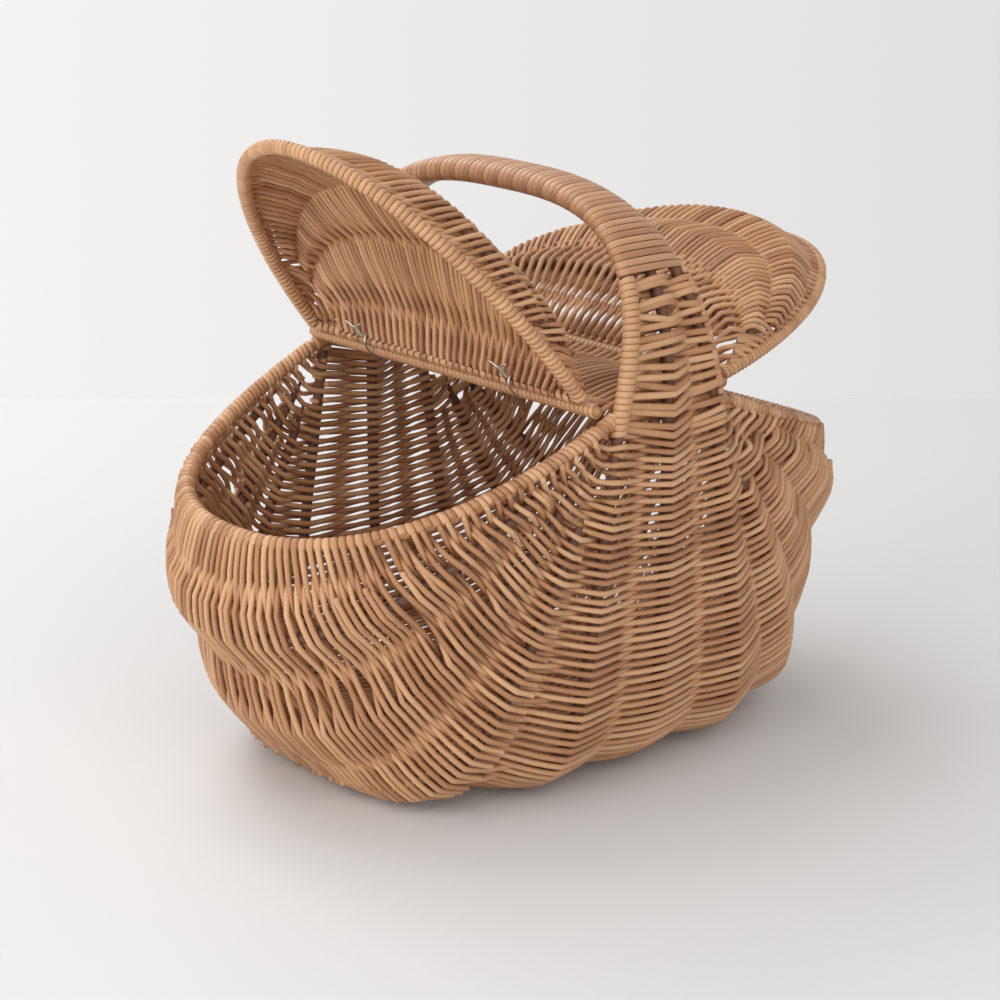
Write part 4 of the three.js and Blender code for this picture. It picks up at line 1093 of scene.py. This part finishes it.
def add_lid_row(bundle, k, rows):
    """One weaver from the base rod to the hoop, or a filler that starts at one of the ribs."""
    passed = passed_lid_ribs(k, rows)
    stakes = [0.0, *passed, 1.0]
    signs = [(-1) ** (i + k) for i in range(len(stakes))]
    radii = [LID_BASE_RADIUS, *[LID_RIB_RADIUS] * len(passed), 0.0]
    offsets = [sign * (radius + LID_ROD / 2) for sign, radius in zip(signs, radii)]
    filler = k % 4 > 1
    if filler and passed:
        first = min(len(passed), k % 4 - 1)
        stakes, offsets = [stakes[first] - FILLER_REACH, *stakes[first:]], [0.0, *offsets[first:]]
    elif filler:
        stakes, offsets = [FILLER_START, 1.0], [0.0, offsets[-1]]
    shares = [lid_row_share(k, s, rows) + (bundle.random.normal(0, LID_WOBBLE) if 0 < s < 1 else 0)
              for s in stakes]
    straightness = STRAIGHTNESS if passed else LID_EDGE_STRAIGHTNESS
    path, outward, crossing = weaver_path(lid, stakes, shares, offsets, straightness)
    thin = THINNEST + THIN_SPREAD * bundle.random.random()
    pitch = CROSSING_PITCHES * lid.rib_length(0.5) / rows
    width = thin * np.clip(LID_ROD - (LID_ROD - pitch) * crossing, LID_CROSSING_LEAST * LID_ROD, LID_ROD)
    rod = strand(path, outward, width, LID_ROD * LID_ROD_THICKNESS * thin)
    if not filler:
        turn, size = (UP_TO_THE_BASE, BASE_TURN_SIZE) if signs[0] > 0 else (AROUND_THE_BASE, KNOB)
        rod = turned(rod[::-1], lid, 0.0, shares[0], BASE_TURN_RADIUS, turn, size)[::-1]
    bundle.rod(rod)


print("a lid rod is", LID_ROD * 1000, "mm wide")

# %% Lid weave
for name, side, open_angle in LIDS:
    weave = Bundle(seed=90 + side)
    for k in range(LID_ROWS[name]):
        add_lid_row(weave, k, LID_ROWS[name])
    weave.piece(f"{name}_lid_weavers", weaver_willow, f"{name}_lid", [f"{name}_lid_weave"],
                "weaver_willow", lid_place(side, open_angle))

# %% [markdown]
# ## Lids: their frame
# The hoop is bound: short lengths are wrapped round it side by side, each leaning a little, and they
# cover the ends of the weavers. The base rod and the three ribs are plain rods that show between the
# weavers, so they are made as the body's ribs are.

# %% Lid frame
LID_HOOP_POINTS, LID_HOOP_SIZE, LID_HOOP_TONE = 120, 0.0064, 0.15
LID_WRAPS, LID_WRAP_RADIUS, LID_WRAP_TURN, LID_WRAP_SLANT = 136, 0.0040, (-85, 262), 0.004
LID_WRAP_SIZE = (lid.rib_length(1) / LID_WRAPS, 0.0026, 2.4)
WRAP_TONE_LEAST, WRAP_TONE_SPREAD = 0.35, 0.5
LID_BASE_END, LID_RIB_POINTS = 0.1342, 80

for name, side, open_angle in LIDS:
    lid_body, place = f"{name}_lid", lid_place(side, open_angle)
    hoop = Bundle(seed=100 + side)
    edge = lid.point(np.ones(LID_HOOP_POINTS), np.linspace(0, 1, LID_HOOP_POINTS))
    hoop.rod(round_rod(edge, LID_HOOP_SIZE), tone=LID_HOOP_TONE)
    for k in range(LID_WRAPS):
        share = (k + 0.5) / LID_WRAPS
        slant = LID_WRAP_SLANT * math.cos(math.pi * share)
        start = edge_start(lid, 1.0, share, LID_ROD)
        wrap = turned(start, lid, 1.0, share, LID_WRAP_RADIUS, LID_WRAP_TURN, LID_WRAP_SIZE, slant)
        hoop.rod(wrap[1:], tone=WRAP_TONE_LEAST + WRAP_TONE_SPREAD * hoop.random.random())
    hoop.piece(f"{name}_lid_hoop_binding", weaver_willow, lid_body, [f"{name}_lid_hoop"],
               "weaver_willow", place)
    base = Bundle(seed=110 + side)
    base.rod(round_rod(cross_line(LID_BASE, LID_BASE_END, 0), 2 * LID_BASE_RADIUS), sides=FRAME_SIDES)
    base.piece(f"{name}_lid_base_core", weaver_willow, lid_body, [f"{name}_lid_base_rod"],
               "weaver_willow", place)
    for i, (s, start) in enumerate(LID_RIB_STARTS.items()):
        rib = Bundle(seed=120 + i)
        rib.rod(rib_strand(lid, s, start, LID_RIB_RADIUS, LID_RIB_POINTS), sides=FRAME_SIDES)
        rib.piece(f"{name}_lid_rib_rod_{i + 1}", frame_willow, lid_body, [f"{name}_lid_rib_{i + 1}"],
                  "frame_willow", place)

# %% [markdown]
# ## Wire ties
# Each lid is tied to its bar with two loops of steel wire. The loop is a closed oval round the bar and the
# lid's base rod. Its two ends are twisted together on the inside of the lid and then spread apart. A bent
# curve would do as well, but the rods' bundle makes the wire in the same few lines as the willow.

# %% Steel
STEEL_LOOK = {"Base Color": (0.62, 0.62, 0.60, 1), "Metallic": 1, "Roughness": 0.28}
SCRATCHES, SCRATCH_RELIEF = {"Scale": 1500}, {"Strength": 0.1, "Distance": 0.0002}

steel, tree, shader = new_material("steel_wire", STEEL_LOOK)
scratches = add_node(tree, "ShaderNodeTexNoise", SCRATCHES)
wire_bump = add_node(tree, "ShaderNodeBump", SCRATCH_RELIEF)
join(tree, (scratches, "Fac", wire_bump, "Height"), (wire_bump, "Normal", shader, "Normal"))
print("finish:", steel.name)

# %% Ties
TIE_BEND, TIE_PLACE, WIRE = 0.0064, 0.076, 0.0014
BEND_POINTS, TWIST_POINTS, TAIL_POINTS, WIRE_SIDES = 13, 30, 5, 6
TWIST_START_OUT, TWIST_START_UP = 0.009, 0.0020
TWIST_TURNS, TWIST_LENGTH, TWIST_RADIUS, TWIST_WIRE = 3, 0.010, 0.0008, 0.85 * WIRE
TAIL_ALONG, TAIL, TAIL_UP = 0.004, 0.008, 0.0012
ACROSS = np.array([0, 1.0, 0])

bend = np.linspace(-np.pi / 2, np.pi / 2, BEND_POINTS)
half_oval = TIE_BEND * np.stack([np.cos(bend), np.zeros(BEND_POINTS), np.sin(bend)], -1)
along = np.linspace(0, 1, TWIST_POINTS)
tail_part = np.linspace(0.1, 1, TAIL_POINTS)

for name, side, open_angle in LIDS:
    for end, across in (("near", -1), ("far", 1)):
        wire = Bundle(seed=130)
        loop = np.vstack([half_oval + LENGTHWAYS * LID_BASE, -half_oval]) + ACROSS * across * TIE_PLACE
        wire.rod(strand(loop, np.tile(ACROSS, (len(loop), 1)), WIRE, WIRE), closed=True)
        start = np.array([LID_BASE + TWIST_START_OUT, across * TIE_PLACE, TWIST_START_UP - TIE_BEND])
        for phase in (0, math.pi):
            turn = 2 * np.pi * TWIST_TURNS * along + phase
            twist = start + np.stack([
                TWIST_LENGTH * along, TWIST_RADIUS * np.cos(turn), TWIST_RADIUS * np.sin(turn)], -1)
            tail = twist[-1] + np.outer(tail_part, [TAIL_ALONG, math.cos(phase) * TAIL, TAIL_UP])
            wire.rod(round_rod(np.vstack([twist, tail]), TWIST_WIRE), sides=WIRE_SIDES)
        wire.piece(f"{name}_lid_wire_{end}", steel, f"{name}_lid", [f"{name}_lid_tie_{end}"], "steel",
                   lid_place(side, open_angle))
